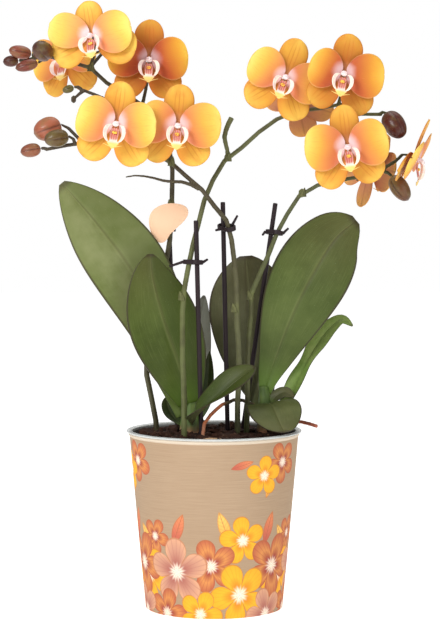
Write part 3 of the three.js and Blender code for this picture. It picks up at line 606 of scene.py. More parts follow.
def makeHeap(rng):
    heap = begin("barkHeap", bpy.ops.mesh.primitive_circle_add, vertices=96, radius=1, fill_type="TRIFAN")
    editAll()
    bpy.ops.mesh.subdivide(number_cuts=7)
    editDone()
    for vertex in heap.data.vertices:
        far = vertex.co.xy.length
        lump = rng.uniform(-0.6, 0.6) if far < 0.98 else 0
        flat = vertex.co.xy * bark["heap"]
        vertex.co = Vector((flat.x, flat.y, barkHeight(far) - bark["heapDrop"] + lump)) * mm
    editAll()
    bpy.ops.mesh.region_to_loop()
    bpy.ops.mesh.extrude_edges_move()
    editDone()
    for vertex in heap.data.vertices:
        if vertex.select:
            flat = vertex.co.xy.normalized() * bark["heapFoot"]
            vertex.co = Vector((flat.x, flat.y, bark["floor"])) * mm
    bpy.ops.object.mode_set(mode="EDIT")
    bpy.ops.mesh.edge_face_add()
    editDone()
    outward(heap)
    setData(heap, "tone", "FLOAT", 0.2)
    return heap


def makeChip(first, rng):
    chip = copied(first, "chip")
    size = Vector((rng.uniform(6, 15), rng.uniform(4, 9), rng.uniform(2, 4.5)))
    reach = math.sqrt(rng.random()) * (bark["radius"] - size.x * 0.55)
    turn = rng.uniform(0, 2 * math.pi)
    height = barkHeight(reach / bark["radius"]) + rng.uniform(-2.0, 1.6)
    tip = Matrix.Rotation(rng.uniform(0, 2 * math.pi), 3, "Z")
    tip = tip @ Matrix.Rotation(rng.gauss(0, 0.35), 3, "X") @ Matrix.Rotation(rng.gauss(0, 0.3), 3, "Y")
    spot = Vector((reach * math.cos(turn), reach * math.sin(turn), height))
    for vertex in chip.data.vertices:
        local = Vector([a * b for a, b in zip(vertex.co, size)])
        local += Vector([rng.uniform(-0.5, 0.5) for axis in range(3)])
        vertex.co = (tip @ local + spot) * mm
    setData(chip, "tone", "FLOAT", rng.random())
    return chip


def makeBark():
    rng = random.Random(bark["seed"])
    chips = [makeHeap(rng)]
    first = begin("firstChip", bpy.ops.mesh.primitive_cube_add, size=1)
    editAll()
    bpy.ops.mesh.bevel(offset=0.17, segments=1, affect="EDGES")
    editDone()
    for i in range(bark["chips"]):
        chips.append(makeChip(first, rng))
    bpy.data.objects.remove(first)
    for course, radius in bark["strands"]:
        strand = tubePiece("rootStrand", Route(course), lambda u: radius * (1.1 - 0.4 * u), 8, 24)
        setData(strand, "tone", "FLOAT", 3.0)
        chips.append(strand)
    piece = joined("barkChipsHeap", chips)
    smooth(piece, 30)
    dress(piece, [chipLook()], "bark")


# A copy of a node's mesh, made smooth and round
def softened(name, node, voxel, rounds, swell=0.0):
    piece = copied(nodes[node], name)
    for key in [k for k in piece.keys() if k.startswith("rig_")]:
        del piece[key]
    piece.parent = None
    piece.hide_render = piece.hide_viewport = False
    outward(piece)
    modify(piece, "REMESH", mode="VOXEL", voxel_size=voxel * mm, use_smooth_shade=True)
    modify(piece, "SMOOTH", factor=0.5, iterations=rounds)
    if swell:
        modify(piece, "DISPLACE", strength=swell * mm, mid_level=0)
    smooth(piece)
    return piece


# Crowns with their roots
crowns = {
    "trunks": ((0.0355, 0.005), (-0.0165, -0.006)), "trunkEdge": (0.0072, 0.0088),  # metres
    "roots": ((0.3, "#6B4630"), (0.5, "#A5694A"), (0.68, "#C9A184")),
    "stems": ((0.3, "#3A4E1E"), (0.6, "#536A2C"), (0.75, "#6A7838")),
    # the arch colours are painted shade on the arching root; the arch foot colours are the root's own
    "arch": ("#35301C", "#4A3A26"), "archFoot": ("#8A4426", "#B86A3E"),
    "outer": ("#7C3A2C", "#B4654A"), "buried": ("#B89A6A", "#D9C7A0"),
}


def crownLook():
    look = Finish("crownAndRoots", Specular_IOR_Level=0.4)
    here = look.here()
    x, y, z = look.split(here)
    patch = look.noise(here, 120.0, 4.0)
    fine = look.grain(500, 160, 4.0)
    away = [look.math("SQRT", (x - a) ** 2 + (y - b) ** 2) for a, b in crowns["trunks"]]
    near = look.fall(look.math("MINIMUM", *away), *crowns["trunkEdge"])
    # painted shade: above the bark, away from the trunks, the arching root is darkened, save near its foot
    arch = look.step(z, 0.126, 0.132) * (1 - near)
    buried = look.fall(z, 0.12, 0.124) * (1 - near)
    color = look.layers(
        look.ramp(patch * 0.7 + fine * 0.3, *crowns["roots"]),
        (near * look.step(z, 0.118, 0.128), look.ramp(patch, *crowns["stems"])),
        (arch, look.mix(patch, *crowns["arch"])),
        (arch * look.fall(x, 0.004, 0.009), look.mix(patch, *crowns["archFoot"])),
        (x, 0.05, 0.055, 0.85, look.mix(patch, *crowns["outer"])),
        (buried * 0.7, look.mix(fine, *crowns["buried"])))
    return look.done(color, 0.45 + fine * 0.3, fine + patch * 0.6, 0.4, 0.0004)


def makeCrowns():
    material = crownLook()
    for side in ("left", "right"):
        piece = softened("crown" + side.capitalize(), "crown_" + side, 0.55, 5, 0.12)
        dress(piece, [material], "crown_" + side)


# Leaves: each laid along its midrib, with a folded groove, soft waves and a dark edge
leafBasics = dict(curl=1, late=1.15, blunt=0.72, waist=0, dusk=0.2, fresh=0.4, plain=False)
leafShapes = {  # half width in mm, fold in degrees, the midrib in mm, and the way its face looks at both ends
    "leaf_1": dict(
        half=27, fold=14, curl=1.5, base=0.05, late=1.45, shade=0.12, dusk=0.4,
        tones=("#82885A", "#5F6A34"), faces=((0.35, -0.9, 0.25), (0.1, -0.98, 0.15)),
        midrib=[[-20, -5, 132], [-27, -3, 152], [-40, -2, 196], [-56, -3, 229], [-79, -5, 261],
                [-104, -9, 292]]),
    "leaf_2": dict(
        half=24.5, fold=10, base=0.07, shade=0.7, dusk=0.5,
        tones=("#4C5A22", "#36420F"), faces=((0.2, -0.95, 0.1), (0.1, -0.99, 0.1)),
        midrib=[[-17, -10, 141], [-20, -13, 153], [-26, -17, 173], [-35, -19, 199], [-42, -19, 228],
                [-43, -18, 244]]),
    "leaf_3": dict(
        half=12, fold=48, base=0.05, late=2.2, shade=0.4,
        tones=("#3C4A14", "#27340B"), faces=((-0.1, -0.1, 0.98), (-0.5, -0.75, 0.45)),
        midrib=[[-15, -12, 127], [-14.4, -21, 129], [-14.3, -31, 132], [-10, -38, 138], [3, -42, 149],
                [17, -43, 161], [28, -42, 169]]),
    "leaf_4": dict(
        half=27, fold=14, curl=1.5, base=0.012, late=1.66, blunt=0.62, shade=0.75, dusk=0.12, fresh=0.8,
        tones=("#566330", "#414E1F"), faces=((0.05, -0.97, 0.2), (0.08, -0.97, 0.2)),
        midrib=[[34, 8, 141], [37, 11, 155], [42, 11.5, 170], [50, 11, 192], [63, 10, 221], [83, 12, 253],
                [98.5, 13, 266]]),
    "leaf_5": dict(
        half=29, fold=8, curl=-1, base=0.01, late=1.8, blunt=0.62, shade=0.5, dusk=0.1, plain=True,
        tones=("#66664A", "#4A4A2E"), faces=((0, 0.9, 0.4), (0.1, 0.97, 0.2)),
        midrib=[[36, 9, 129], [35.5, 19, 137], [31, 28, 150], [26.5, 29, 172], [25, 30, 203], [22, 31, 241]]),
    "leaf_6": dict(
        half=11, fold=10, base=0.07, shade=0.0, dusk=0.0, fresh=0.0, plain=True,
        tones=("#A2A498", "#84867C"), faces=((0.1, -0.8, 0.6), (0, -0.98, 0.2)),
        midrib=[[-17, -1, 134], [-16, 12, 143], [-14, 37, 164], [-11, 50, 188], [-7, 54, 212]]),
    "leaf_7": dict(
        half=8.5, fold=30, base=0.08, waist=0.4, shade=0.15,
        tones=("#8A9A56", "#5E7C34"), faces=((-0.6, -0.5, 0.6), (0, -0.85, 0.5)),
        midrib=[[41, 3, 127], [46.5, 6, 131], [52.5, 11, 143.5], [60.5, 17, 160], [70.5, 22, 177.5],
                [81, 25, 191], [89, 26, 196], [97, 26, 191]]),
    "leaf_8": dict(
        half=18.5, fold=6, curl=2, base=0.05, late=1, blunt=0.55, shade=0.55,
        tones=("#66693F", "#4A5228"), faces=((0, -0.3, 0.95), (0.1, -0.75, 0.65)),
        midrib=[[35, 0.6, 135.5], [37, -9, 140.5], [40, -18, 139.5], [43, -28, 133.5], [46, -37, 127],
                [47, -41, 125]]),
    "leaf_9": dict(
        half=5, fold=12, base=0.1, shade=0.6,
        tones=("#5A5C3C", "#44462A"), faces=((-0.1, -0.7, 0.7), (0.1, -0.75, 0.65)),
        midrib=[[39, 4, 140.5], [43, 3.8, 145], [49, 2.5, 147.5], [55, 0.5, 144.5]]),
    "leaf_10": dict(
        half=6, fold=20, curl=0, base=0.1, shade=0.3,
        tones=("#2E3B14", "#1F2A0C"), faces=((0.3, -0.5, 0.8), (0.2, -0.8, 0.6)),
        midrib=[[-21, -4, 125], [-25, -1, 128], [-29, 2, 132], [-32, 5, 138], [-33, 8, 144]]),
    "leaf_11": dict(
        half=4.5, fold=25, curl=0, base=0.2, shade=0.3,
        tones=("#28350F", "#1B260A"), faces=((0, -0.9, 0.4), (0, -0.98, 0.2)),
        midrib=[[-11, -8, 130], [-6, -6, 141], [-4, 1, 158], [-3, 5, 176]]),
}
leafTints = {
    "back": "#66644A", "tip": "#4E4628", "lines": "#8E9860", "dusk": "#22300E", "rib": "#8A8E5C",
    "groove": "#40391E", "specks": "#A6AE84", "edge": "#33241E", "fresh": "#5C7A2C",
}


def leafLook(name, shape, back=False):
    look = Finish(name, Specular_IOR_Level=0.16, Coat_Roughness=0.3)
    here = look.here()
    u, v = look.ownMap()
    fromRib = v * 2 - 1
    side = abs(fromRib)
    broad = look.noise(here, 28.0)
    patch = look.noise(here, 140.0, 4.0, 0.6)
    lines = look.noise(look.join(u * 6, v * 90), 1.0, 3.0, 0.6)
    light, deep = shape["tones"]
    color = look.mix(look.step(broad * 0.75 + patch * 0.25, 0.3, 0.7), deep, light)
    if back and not shape["plain"]:
        color = look.mix(0.6, color, leafTints["back"])
    dusk = look.step(v, 0.48, 0.62) * (0.75 + patch * 0.5)  # the half that turns from the light
    rib = look.fall(side, 0.0, 0.05 + (1 - u) * 0.06)
    # painted shade: the groove along the midrib is darkened as a shaded crease
    groove = look.fall(abs(fromRib - 0.05), 0.0, 0.07) * (0.2 + u * 0.25)
    edge = look.math("MAXIMUM", look.step(side, 0.93, 0.985), look.step(u, 0.965, 0.995) * 0.8)
    color = look.layers(
        color,
        (u, 0.5, 1.0, shape["shade"] * 0.7, leafTints["tip"]),
        (side, 0.6, 1.0, 0.3, deep),
        (lines, 0.5, 0.7, 0.12, leafTints["lines"]),
        (dusk * shape["dusk"], look.mix(0.5, deep, leafTints["dusk"])),
        (rib * 0.16, leafTints["rib"]),
        (groove, leafTints["groove"]),
        (look.noise(here, 1500.0, 1.0), 0.7, 0.76, 0.14, leafTints["specks"]),
        (edge * 0.75, leafTints["edge"]),
        (look.fall(u, 0.02, 0.25) * shape["fresh"], leafTints["fresh"]))
    return look.done(color, 0.36 + patch * 0.2, lines * 0.5 + patch * 0.4 + rib * -0.4, 0.25, 0.0004,
                     Coat_Weight=0.02 + broad * 0.06)


def makeLeaf(node, shape):
    number = node.split("_")[1]
    rib = Route(shape["midrib"])
    faceBase, faceTip = (Vector(face) for face in shape["faces"])
    size = shape["half"]
    phase = size * 1.7

    def place(u, v):
        u = 0.003 + u * 0.989
        axis = rib.along(u)
        face = faceBase.lerp(faceTip, u)
        face = (face - axis * face.dot(axis)).normalized()
        reach = shape["base"] + (1 - shape["base"]) * u ** shape["late"]
        width = size * math.sin(math.pi * min(reach, 0.9999)) ** shape["blunt"]
        width *= 1 - shape["waist"] * math.exp(-((u - 0.5) / 0.13) ** 2)
        fold = math.radians(shape["fold"] * (1 - 0.6 * u))
        lift = abs(v) * width * math.sin(fold) - shape["curl"] * (width / size) * v * v * u
        lift += 0.022 * size * math.sin(7 * u + phase + 2 * v) * v * v * (width / size)  # waves
        lift -= 0.45 * math.exp(-(v * width / 1.3) ** 2) * min(1, width / 6)  # groove
        return (rib.at(u) + axis.cross(face) * (v * width * math.cos(fold)) + face * lift) * mm

    rows, columns = (56, 26) if size > 8 else (28, 12)
    piece = sheetPiece("leaf" + number, rows, columns, place)
    thin = piece.vertex_groups.new(name="thin")
    spots = piece.data.uv_layers[0].data
    for loop in piece.data.loops:
        across, along = spots[loop.index].uv
        weight = 0.35 + 0.65 * (1 - abs(across * 2 - 1) ** 3) * min(1, (1 - along) * 9)
        thin.add([loop.vertex_index], weight, "REPLACE")
    remap(piece, lambda across, along: (along, across))
    piece.data.materials.append(leafLook("leafFront" + number, shape))
    piece.data.materials.append(leafLook("leafBack" + number, shape, back=True))
    modify(piece, "SOLIDIFY", thickness=min(1.8, 0.5 + size * 0.055) * mm, offset=0, use_even_offset=False,
           vertex_group="thin", thickness_vertex_group=0.2, material_offset=1, use_quality_normals=True)
    bevel(piece, 0.22, 1)
    smooth(piece)
    dress(piece, [], node)


def makeLeaves():
    for node, shape in leafShapes.items():
        makeLeaf(node, {**leafBasics, **shape})


# Spikes: the node's own course, rounded, with small papery bracts at the joints
spikes = {
    "spike_1": dict(low="#4A4730", high="#463F2C", joints=[(-29, 7, 276), (-84, -1, 369), (-46, 9, 178)]),
    "spike_2": dict(low="#5C6238", high="#5C5E3A", joints=[(-21, -28, 215), (9, -8, 308), (54, 1, 339)]),
    "spike_3": dict(low="#585A3A", high="#43372A", joints=[(14.5, -12, 206), (-29, -26, 305)]),
    "spike_4": dict(low="#525630", high="#4A4E2E", joints=[(25, -1, 214), (60, 2, 284), (100, -1.5, 295)]),
}
spikeTints = {"shadow": "#33291A", "lines": "#73784A", "joint": "#757944"}
bractTints = ((0.3, "#45452A"), (0.55, "#5A5C36"), (0.75, "#76744E"))


def stemLook(name, shape):
    look = Finish(name, Specular_IOR_Level=0.28)
    here = look.here()
    x, y, z = look.split(here)
    patch = look.noise(here, 70.0)
    fine = look.grain(1400, 300)
    nearest = 1.0
    for joint in shape["joints"]:
        a, b, c = (place * mm for place in joint)
        away = look.math("SQRT", (x - a) ** 2 + (y - b) ** 2 + (z - c) ** 2)
        nearest = look.math("MINIMUM", nearest, away)
    color = look.layers(
        look.mix(look.step(z, 0.16, 0.33), shape["low"], shape["high"]),
        (patch, 0.4, 0.7, 0.5, spikeTints["shadow"]),
        (fine, 0.5, 0.75, 0.22, spikeTints["lines"]),
        (look.fall(nearest, 0.0022, 0.0055) * 0.35, spikeTints["joint"]))
    return look.done(color, 0.42 + fine * 0.2, fine * 0.6 + patch * 0.4, 0.25, 0.0003)


def bractLook():
    look = Finish("paperyBract", Specular_IOR_Level=0.3)
    lines = look.grain(1500, 300)
    return look.done(look.ramp(lines, *bractTints), 0.6 + lines * 0.2, lines, 0.3, 0.0003)


def makeBract(joint, sideways):
    base, side = Vector(joint), Vector((sideways, -0.85, 0)).normalized()

    def place(u, v):
        flat = Matrix.Rotation(v * (1.25 - 0.5 * u), 3, "Z") @ side
        narrow = flat.lerp(side, min(1, u ** 2))
        return (base + narrow * (2.9 + 0.5 * u ** 2) + Vector((0, 0, -2.6 + 6.4 * u))) * mm

    bract = sheetPiece("bract", 10, 8, place)
    modify(bract, "SOLIDIFY", thickness=0.35 * mm, offset=0)
    return bract


def makeSpikes():
    papery = bractLook()
    for number, (node, shape) in enumerate(spikes.items(), 1):
        piece = softened("spike%d" % number, node, 0.48, 6, 0.16)
        dress(piece, [stemLook("spikeSkin%d" % number, shape)], node)
        bracts = [makeBract(joint, 0.5 if k % 2 else -0.5) for k, joint in enumerate(shape["joints"])]
        cover = joined("bracts%d" % number, bracts)
        outward(cover, 0.000001)
        smooth(cover)
        dress(cover, [papery], None)


# Stakes and clips: dark brown-violet plastic
stakes = {
    "radius": 1.6, "colors": ("#1C1416", "#2C1F23"), "scuffs": "#3C2E32",
    "rods": [((-6.4, -31, 40), (-12, -28, 266)), ((11, 8, 40), (6, -10.5, 278)),
             ((9, 36, 40), (42, 5.5, 277)), ((-22, 16, 40), (-31, 11.5, 262))],  # foot and top, mm
}


def plasticLook():
    look = Finish("stakePlastic", Specular_IOR_Level=0.2)
    fine = look.grain(1600, 120, 2.0)
    color = look.mix(look.noise(look.here(), 30.0, 2.0), *stakes["colors"])
    color = look.layers(color, (fine, 0.6, 0.8, 0.2, stakes["scuffs"]))
    return look.done(color, 0.38 + fine * 0.2, fine, 0.15, 0.0002)


def upright(start, end):  # turns and moves what stands at the middle to run from start to end
    turn = Vector((0, 0, 1)).rotation_difference(end - start).to_matrix().to_4x4()
    return Matrix.Translation(start) @ turn


def makeStakes():
    material = plasticLook()
    for number, (foot, top) in enumerate(stakes["rods"], 1):
        foot, top = Vector(foot) * mm, Vector(top) * mm
        length = (top - foot).length
        piece = begin("stake%d" % number, bpy.ops.mesh.primitive_cylinder_add, vertices=28,
                      radius=stakes["radius"] * mm, depth=length, location=(0, 0, length / 2),
                      end_fill_type="NGON")
        settle(piece)
        bevel(piece, 0.5, 4)
        piece.data.transform(upright(foot, top))
        smooth(piece, 50)
        dress(piece, [material], "stake_%d" % number)
    for number in (1, 2, 3):
        piece = softened("clip%d" % number, "clip_%d" % number, 0.28, 3, 0.04)
        dress(piece, [material], "clip_%d" % number)


# Plant tag: a blank peach card, on a thin band
tag = {
    "middle": (-31, 4, 264), "thickness": 0.9, "card": ("#F4CBA8", "#EFC29D"), "fibres": "#D9A988",
    "band": "#3A2A2E",
    "corners": [  # each four in turn make one curve of the card's edge
        (-6, -14), (-11, -13), (-13.5, -4), (-13.5, 1), (-13.5, 9), (-6, 12.5), (1, 13), (8, 13.2),
        (13.5, 11.5), (13.5, 7), (13.5, 1), (4, -4), (0.5, -9), (-1, -12), (-3, -14.4), (-6, -14)],
}


def tagLook():
    look = Finish("tagCardboard", Specular_IOR_Level=0.35)
    here = look.here()
    y = look.split(here)[1]
    fine = look.noise(here, 1500.0, 2.0)
    color = look.layers(
        look.mix(look.noise(here, 90.0), *tag["card"]),
        (fine, 0.6, 0.75, 0.12, tag["fibres"]),
        (look.step(y, 0.0044, 0.0048), tag["band"]))  # the band is behind the card
    return look.done(color, 0.5 + fine * 0.15, fine, 0.12, 0.0002)


def makeTag():
    outline = []
    for k in range(0, 15, 3):
        a, b, c, d = (Vector(p) for p in tag["corners"][k:k + 4])
        for i in range(14):
            t = i / 14
            s = 1 - t
            outline.append(a * s ** 3 + b * 3 * s * s * t + c * 3 * s * t * t + d * t ** 3)
    card = begin("tagCard", bpy.ops.mesh.primitive_circle_add, vertices=len(outline), radius=1,
                 fill_type="NGON")
    middle, thickness = Vector(tag["middle"]), tag["thickness"]
    for vertex, flat in zip(card.data.vertices, outline):
        vertex.co = (middle + Vector((flat.x, -thickness / 2, flat.y))) * mm
    modify(card, "SOLIDIFY", thickness=thickness * mm, offset=0)
    outward(card)
    bevel(card, 0.18, 2)
    band = softened("tagBand", "plant_tag", 0.3, 2)
    pick(band)
    editAll()
    bpy.ops.mesh.bisect(plane_co=(0, (middle.y + 0.4) * mm, 0), plane_no=(0, 1, 0), clear_inner=True,
                        use_fill=True)
    editDone()
    piece = joined("plantTag", [card, band])
    smooth(piece, 40)
    dress(piece, [tagLook()], "plant_tag")


# Blooms: five waxy tepals and the column. Each has its place in mm, the way it faces, its roll in degrees,
# its size and how dark and pink it is, and some have their own turns, reaches and breadths of the tepals.
blooms = [
    dict(at=(-82, -22, 389), front=(-0.22, -0.96, 0.12), turn=-12, size=1, tone=0.0, pink=0.9,
         turns=(0, 120, -104, 88, -62), reaches=(0.88, 1.02, 0.97, 1.02, 1.1),
         broads=(0.95, 1.15, 1.15, 0.95, 0.78)),
    dict(at=(-44, -6, 374), front=(0.05, -0.98, 0.1), turn=2, size=0.98, tone=0.95, pink=0.3),
    dict(at=(-64, -54, 330), front=(0, -1, 0.04), turn=8, size=1, tone=0.2, pink=0.6,
         reaches=(1, 1, 1, 0.95, 0.95), broads=(1, 1, 1, 0.98, 1)),
    dict(at=(-24, -43, 329), front=(0.06, -1, 0.04), turn=5, size=0.98, tone=0.4, pink=0.5,
         reaches=(1, 1, 0.98, 1.07, 0.96), broads=(1, 1, 1, 1, 0.96)),
    dict(at=(-104, 32, 377), front=(-0.45, -0.88, 0), turn=-10, size=0.95, tone=0.4, pink=0.6),
    dict(at=(48, -10, 362), front=(0.08, -1, 0.1), turn=21, size=0.98, tone=0.3, pink=0.5),
    dict(at=(87, -22, 364), front=(0, -1, 0.08), turn=11, size=0.98, tone=0.85, pink=0.4,
         reaches=(1, 1, 0.97, 1, 0.88), broads=(1, 1, 1, 1, 0.92)),
    dict(at=(89, -34, 315), front=(-0.04, -1, 0.02), turn=-7, size=1, tone=0.5, pink=0.6),
    dict(at=(110, 30, 302), front=(0.8, 0.55, -0.25), turn=0, size=0.92, tone=0.5, pink=0.4,
         turns=(-38, 103, -179, 42, -98), reaches=(1, 1, 1.05, 1, 1), broads=(1, 1, 0.75, 1, 1)),
    dict(at=(137, 2, 308), front=(0.88, -0.15, -0.46), turn=0, size=0.98, tone=0.45, pink=0.4,
         turns=(-8, 150, -115, 66, -90)),
    dict(at=(58, 30, 345), front=(0.05, 0.9, -0.42), turn=0, size=0.85, tone=0.55, pink=0.4,
         turns=(10, -168, -108, 50, -62)),
]
tepals = {
    "seed": 40,
    "sepal": dict(length=28, half=10.3, level=-1.1, arch=-1.6, early=0.62, late=0.5, kind=0),
    "lateral": dict(length=30.5, half=11, level=-1.1, arch=-1.6, early=0.8, late=0.45, kind=0.5),
    "petal": dict(length=27.5, half=15.4, level=0.9, arch=1.7, early=0.55, late=0.42, kind=1),
}
tepalOrder = ("sepal", "lateral", "lateral", "petal", "petal")
tepalTurns = (0, 141, -141, 80, -80)  # degrees from the top
tepalTints = {
    "back": ((0.0, "#8E5A48"), (0.3, "#C07C5E"), (0.65, "#D99A62"), (1.0, "#E9B45C")),
    "petal": ((0.05, "#F4AA90"), (0.24, "#F0925E"), (0.46, "#F4AA58"), (0.66, "#F9C552"), (0.84, "#FCDB66"),
              (1.0, "#FEE87E")),
    "petalDark": ((0.08, "#A43C1C"), (0.36, "#B64A18"), (0.6, "#CE7822"), (0.82, "#E4A22C"), (1.0, "#F0C244")),
    "sepal": ((0.05, "#DE8440"), (0.3, "#EBA23E"), (0.6, "#F4BC44"), (1.0, "#F9D05A")),
    "sepalDark": ((0.05, "#943C0E"), (0.35, "#B05A16"), (0.65, "#C67C22"), (1.0, "#DAA038")),
    "backShade": "#A8643C", "backVeins": "#A45C48", "backRib": "#8A5238", "upper": "#F2AE74",
    "patches": "#D97C28", "sepalSides": "#C96A22", "stripes": "#C4661C", "veins": "#DB6A2C",
    # the sepals' colour near the middle of the bloom is partly their own pale orange, partly painted light over
    # the shade between the tepals
    "paleVeins": "#FBE08A", "petalGlow": "#FCECF2", "sepalBaseAndLight": "#F2AE7A", "petalRim": "#F6D083",
    "sepalRim": "#C8701E", "end": "#D98A2C",
    "through": "#F29A3C", "throughShare": 0.12,  # light that comes through
}
columnTints = {"wax": "#F6E6E4", "clouds": "#F0D2D6", "foot": "#EFB4AE", "cap": "#F7EDE2"}


def bloomFrame(bloom):
    front = Vector(bloom["front"]).normalized()
    right = Vector((0, 0, 1)).cross(front).normalized()
    up = front.cross(right)
    roll = math.radians(-bloom["turn"])
    first = right * math.cos(roll) + up * math.sin(roll)
    second = up * math.cos(roll) - right * math.sin(roll)
    size = bloom["size"]
    matrix = Matrix((first * size, second * size, front * size)).transposed().to_4x4()
    return Matrix.Translation(Vector(bloom["at"])) @ matrix


def roundedBlade(t, early, late):  # 0..1, widest at early / (early + late)
    widest = early / (early + late)
    return (t ** early * (1 - t) ** late) / (widest ** early * (1 - widest) ** late)


def spread(u):  # rows stand closer at both ends, so that the outline stays round
    return 0.5 - 0.5 * math.cos(math.pi * (0.09 + 0.905 * u))


def makeTepal(name, shape, degrees, reach, broad, rng, looks):
    turn = math.radians(degrees)
    isPetal = shape["kind"] == 1
    wave, phase = rng.uniform(0.8, 1.5), rng.uniform(0, 6.28)
    skew = (0.1 if degrees > 0 else -0.1) if isPetal else rng.uniform(-0.03, 0.03)
    arch = shape["arch"] * rng.uniform(0.8, 1.3)
    tipDrop = rng.uniform(0.6, 1.5)
    root = 1.3  # mm from the middle of the bloom

    def place(u, v):
        t = spread(u)
        fill = roundedBlade(t, shape["early"], shape["late"])
        along = root + (shape["length"] * reach - root) * t + 0.7 * math.sin(v * 4.4 + phase) * t * t * fill
        across = v * shape["half"] * broad * fill * (1 + skew * v)
        height = shape["level"] + arch * math.sin(0.8 * math.pi * t) - 0.9 * v * v * t
        height += wave * 0.45 * math.sin(v * 5.2 + phase) * t * v * v
        height -= tipDrop * max(0, t - 0.7) ** 2 * 8
        if isPetal:  # domed
            height += 0.72 * (1 - v * v) * math.sin(math.pi * t)
        else:  # folded, with a groove along the middle
            height += 0.6 * abs(v) ** 1.5 * math.sin(math.pi * t)
            height -= 0.35 * math.exp(-(v * 5) ** 2) * t
        return Vector((along * math.sin(turn) + across * math.cos(turn),
                       along * math.cos(turn) - across * math.sin(turn), height))

    rows, columns = (34, 30) if isPetal else (30, 18)
    piece = sheetPiece(name, rows, columns, place)
    remap(piece, lambda across, along: (spread(along), across))
    setSpots(piece)
    setData(piece, "kind", "FLOAT", shape["kind"])
    for look in looks:
        piece.data.materials.append(look)
    modify(piece, "SOLIDIFY", thickness=0.55, offset=0, material_offset=1, use_quality_normals=True)
    return piece


def tepalBack(look, u, side, tone, patch, veins):
    return look.layers(
        look.ramp(u + patch * 0.2 - 0.1, *tepalTints["back"]),
        (tone * 0.4, tepalTints["backShade"]),
        (veins, 0.5, 0.7, 0.35, tepalTints["backVeins"]),
        (look.fall(side, 0.02, 0.12) * 0.4, tepalTints["backRib"]))


def tepalFront(look, u, v, side, tone, patch, veins, petalShare):
    x, y = look.split(look.attribute("spot", 1), 2)
    pink = look.attribute("pink")
    cloud = look.noise(look.here(), 45.0, 2.0)
    low = look.step(-y, -0.15, 0.55)
    grade = u * 0.9 + (cloud - 0.5) * 0.3 - low * 0.17 + 0.1
    upper = look.step(y, 0.1, 0.6) * petalShare * (1 - tone) * look.fall(u, 0.55, 0.9)
    petal = look.layers(look.ramp(grade, *tepalTints["petal"]),
                        (tone, look.ramp(grade, *tepalTints["petalDark"])),
                        (upper * 0.3, tepalTints["upper"]))
    grade = u + (cloud - 0.5) * 0.3
    stripe = look.fall(side, 0.25, 0.4) * look.step(u, 0.1, 0.3) * look.fall(u, 0.7, 0.95)
    sepal = look.layers(
        look.ramp(grade, *tepalTints["sepal"]),
        (tone, look.ramp(grade, *tepalTints["sepalDark"])),
        (patch, 0.45, 0.7, 0.4, tepalTints["patches"]),
        (side, 0.6, 1.0, 0.3, tepalTints["sepalSides"]),
        (look.math("COSINE", (v - 0.5) * 44), 0.35, 0.9, stripe * 0.4, tepalTints["stripes"]))
    glowSize = 0.3 + (patch - 0.5) * 0.2
    glow = look.fall(look.math("SQRT", x * x + y * y), glowSize * 0.4, glowSize)
    return look.layers(
        look.mix(petalShare, sepal, petal),
        (veins, 0.5, 0.72, look.fall(u, 0.75, 1.0) * 0.28, tepalTints["veins"]),
        (veins, 0.62, 0.8, 0.2, tepalTints["paleVeins"]),
        (glow * petalShare * (0.3 + pink * 0.5), tepalTints["petalGlow"]),
        # on sepals this is partly their own pale orange base, partly painted light that lifts the shade in the
        # V between the tepals
        (glow * (1 - petalShare) * 0.45, tepalTints["sepalBaseAndLight"]))


def tepalLook(name, back):
    look = Finish(name, Specular_IOR_Level=0.3, Sheen_Weight=0.05)
    u, v = look.ownMap()
    tone = look.attribute("tone")
    side = abs(v * 2 - 1)
    petalShare = look.step(look.attribute("kind"), 0.7, 0.9)
    patch = look.noise(look.here(), 90.0)
    veins = look.noise(look.join(u * 3.2, v * 46), 1.0, 2.5, 0.6, 0.4)
    if back:
        color = tepalBack(look, u, side, tone, patch, veins)
    else:
        color = tepalFront(look, u, v, side, tone, patch, veins, petalShare)
    color = look.layers(
        color,
        (side, 0.93, 1.0, petalShare * 0.3, tepalTints["petalRim"]),
        (side, 0.93, 1.0, (1 - petalShare) * 0.45, tepalTints["sepalRim"]),
        (u, 0.95, 1.0, 0.3, tepalTints["end"]))
    look.done(color, 0.5 + patch * 0.15, veins * 0.6 + patch * 0.4, 0.28, 0.0003)
    through = look.node("ShaderNodeBsdfTranslucent", None, {"Color": tint(tepalTints["through"])})
    both = {0: tepalTints["throughShare"], 1: Wire(look, look.shader.outputs[0]), 2: through}
    look.plug(look.output.inputs["Surface"], look.node("ShaderNodeMixShader", None, both))
    return look.material


def columnLook():
    look = Finish("columnWax", Specular_IOR_Level=0.45)
    z = look.split(look.attribute("spot", 1))[2]
    patch = look.noise(look.here(), 300.0)
    color = look.layers(
        columnTints["wax"],
        (look.step(patch, 0.4, 0.7), columnTints["clouds"]),
        (look.fall(z, 0.02, 0.14) * 0.6, columnTints["foot"]),
        (z, 0.25, 0.3, 0.5, columnTints["cap"]))
    return look.done(color, 0.4 + patch * 0.15, patch, 0.2, 0.0003)


def makeColumn(look):
    piece = begin("column", bpy.ops.mesh.primitive_uv_sphere_add, segments=24, ring_count=20, radius=1)
    piece.data.uv_layers[0].name = "map"
    for vertex in piece.data.vertices:
        x, y, z = vertex.co
        t = (z + 1) / 2
        wide = 1.6 + 0.75 * t
        high = 8.6 * t - 0.8
        hood = 1 + 0.25 * math.exp(-((t - 0.8) / 0.08) ** 2)
        flat = 0.92 if y < 0 else 1.0
        notch = 0.5 if t > 0.85 and y < 0 else 0
        vertex.co = Vector((x * wide * hood, y * wide * flat - 0.08 * high + notch, high))
    setSpots(piece)
    setData(piece, "kind", "FLOAT", 1.0)
    piece.data.materials.append(look)
    return piece


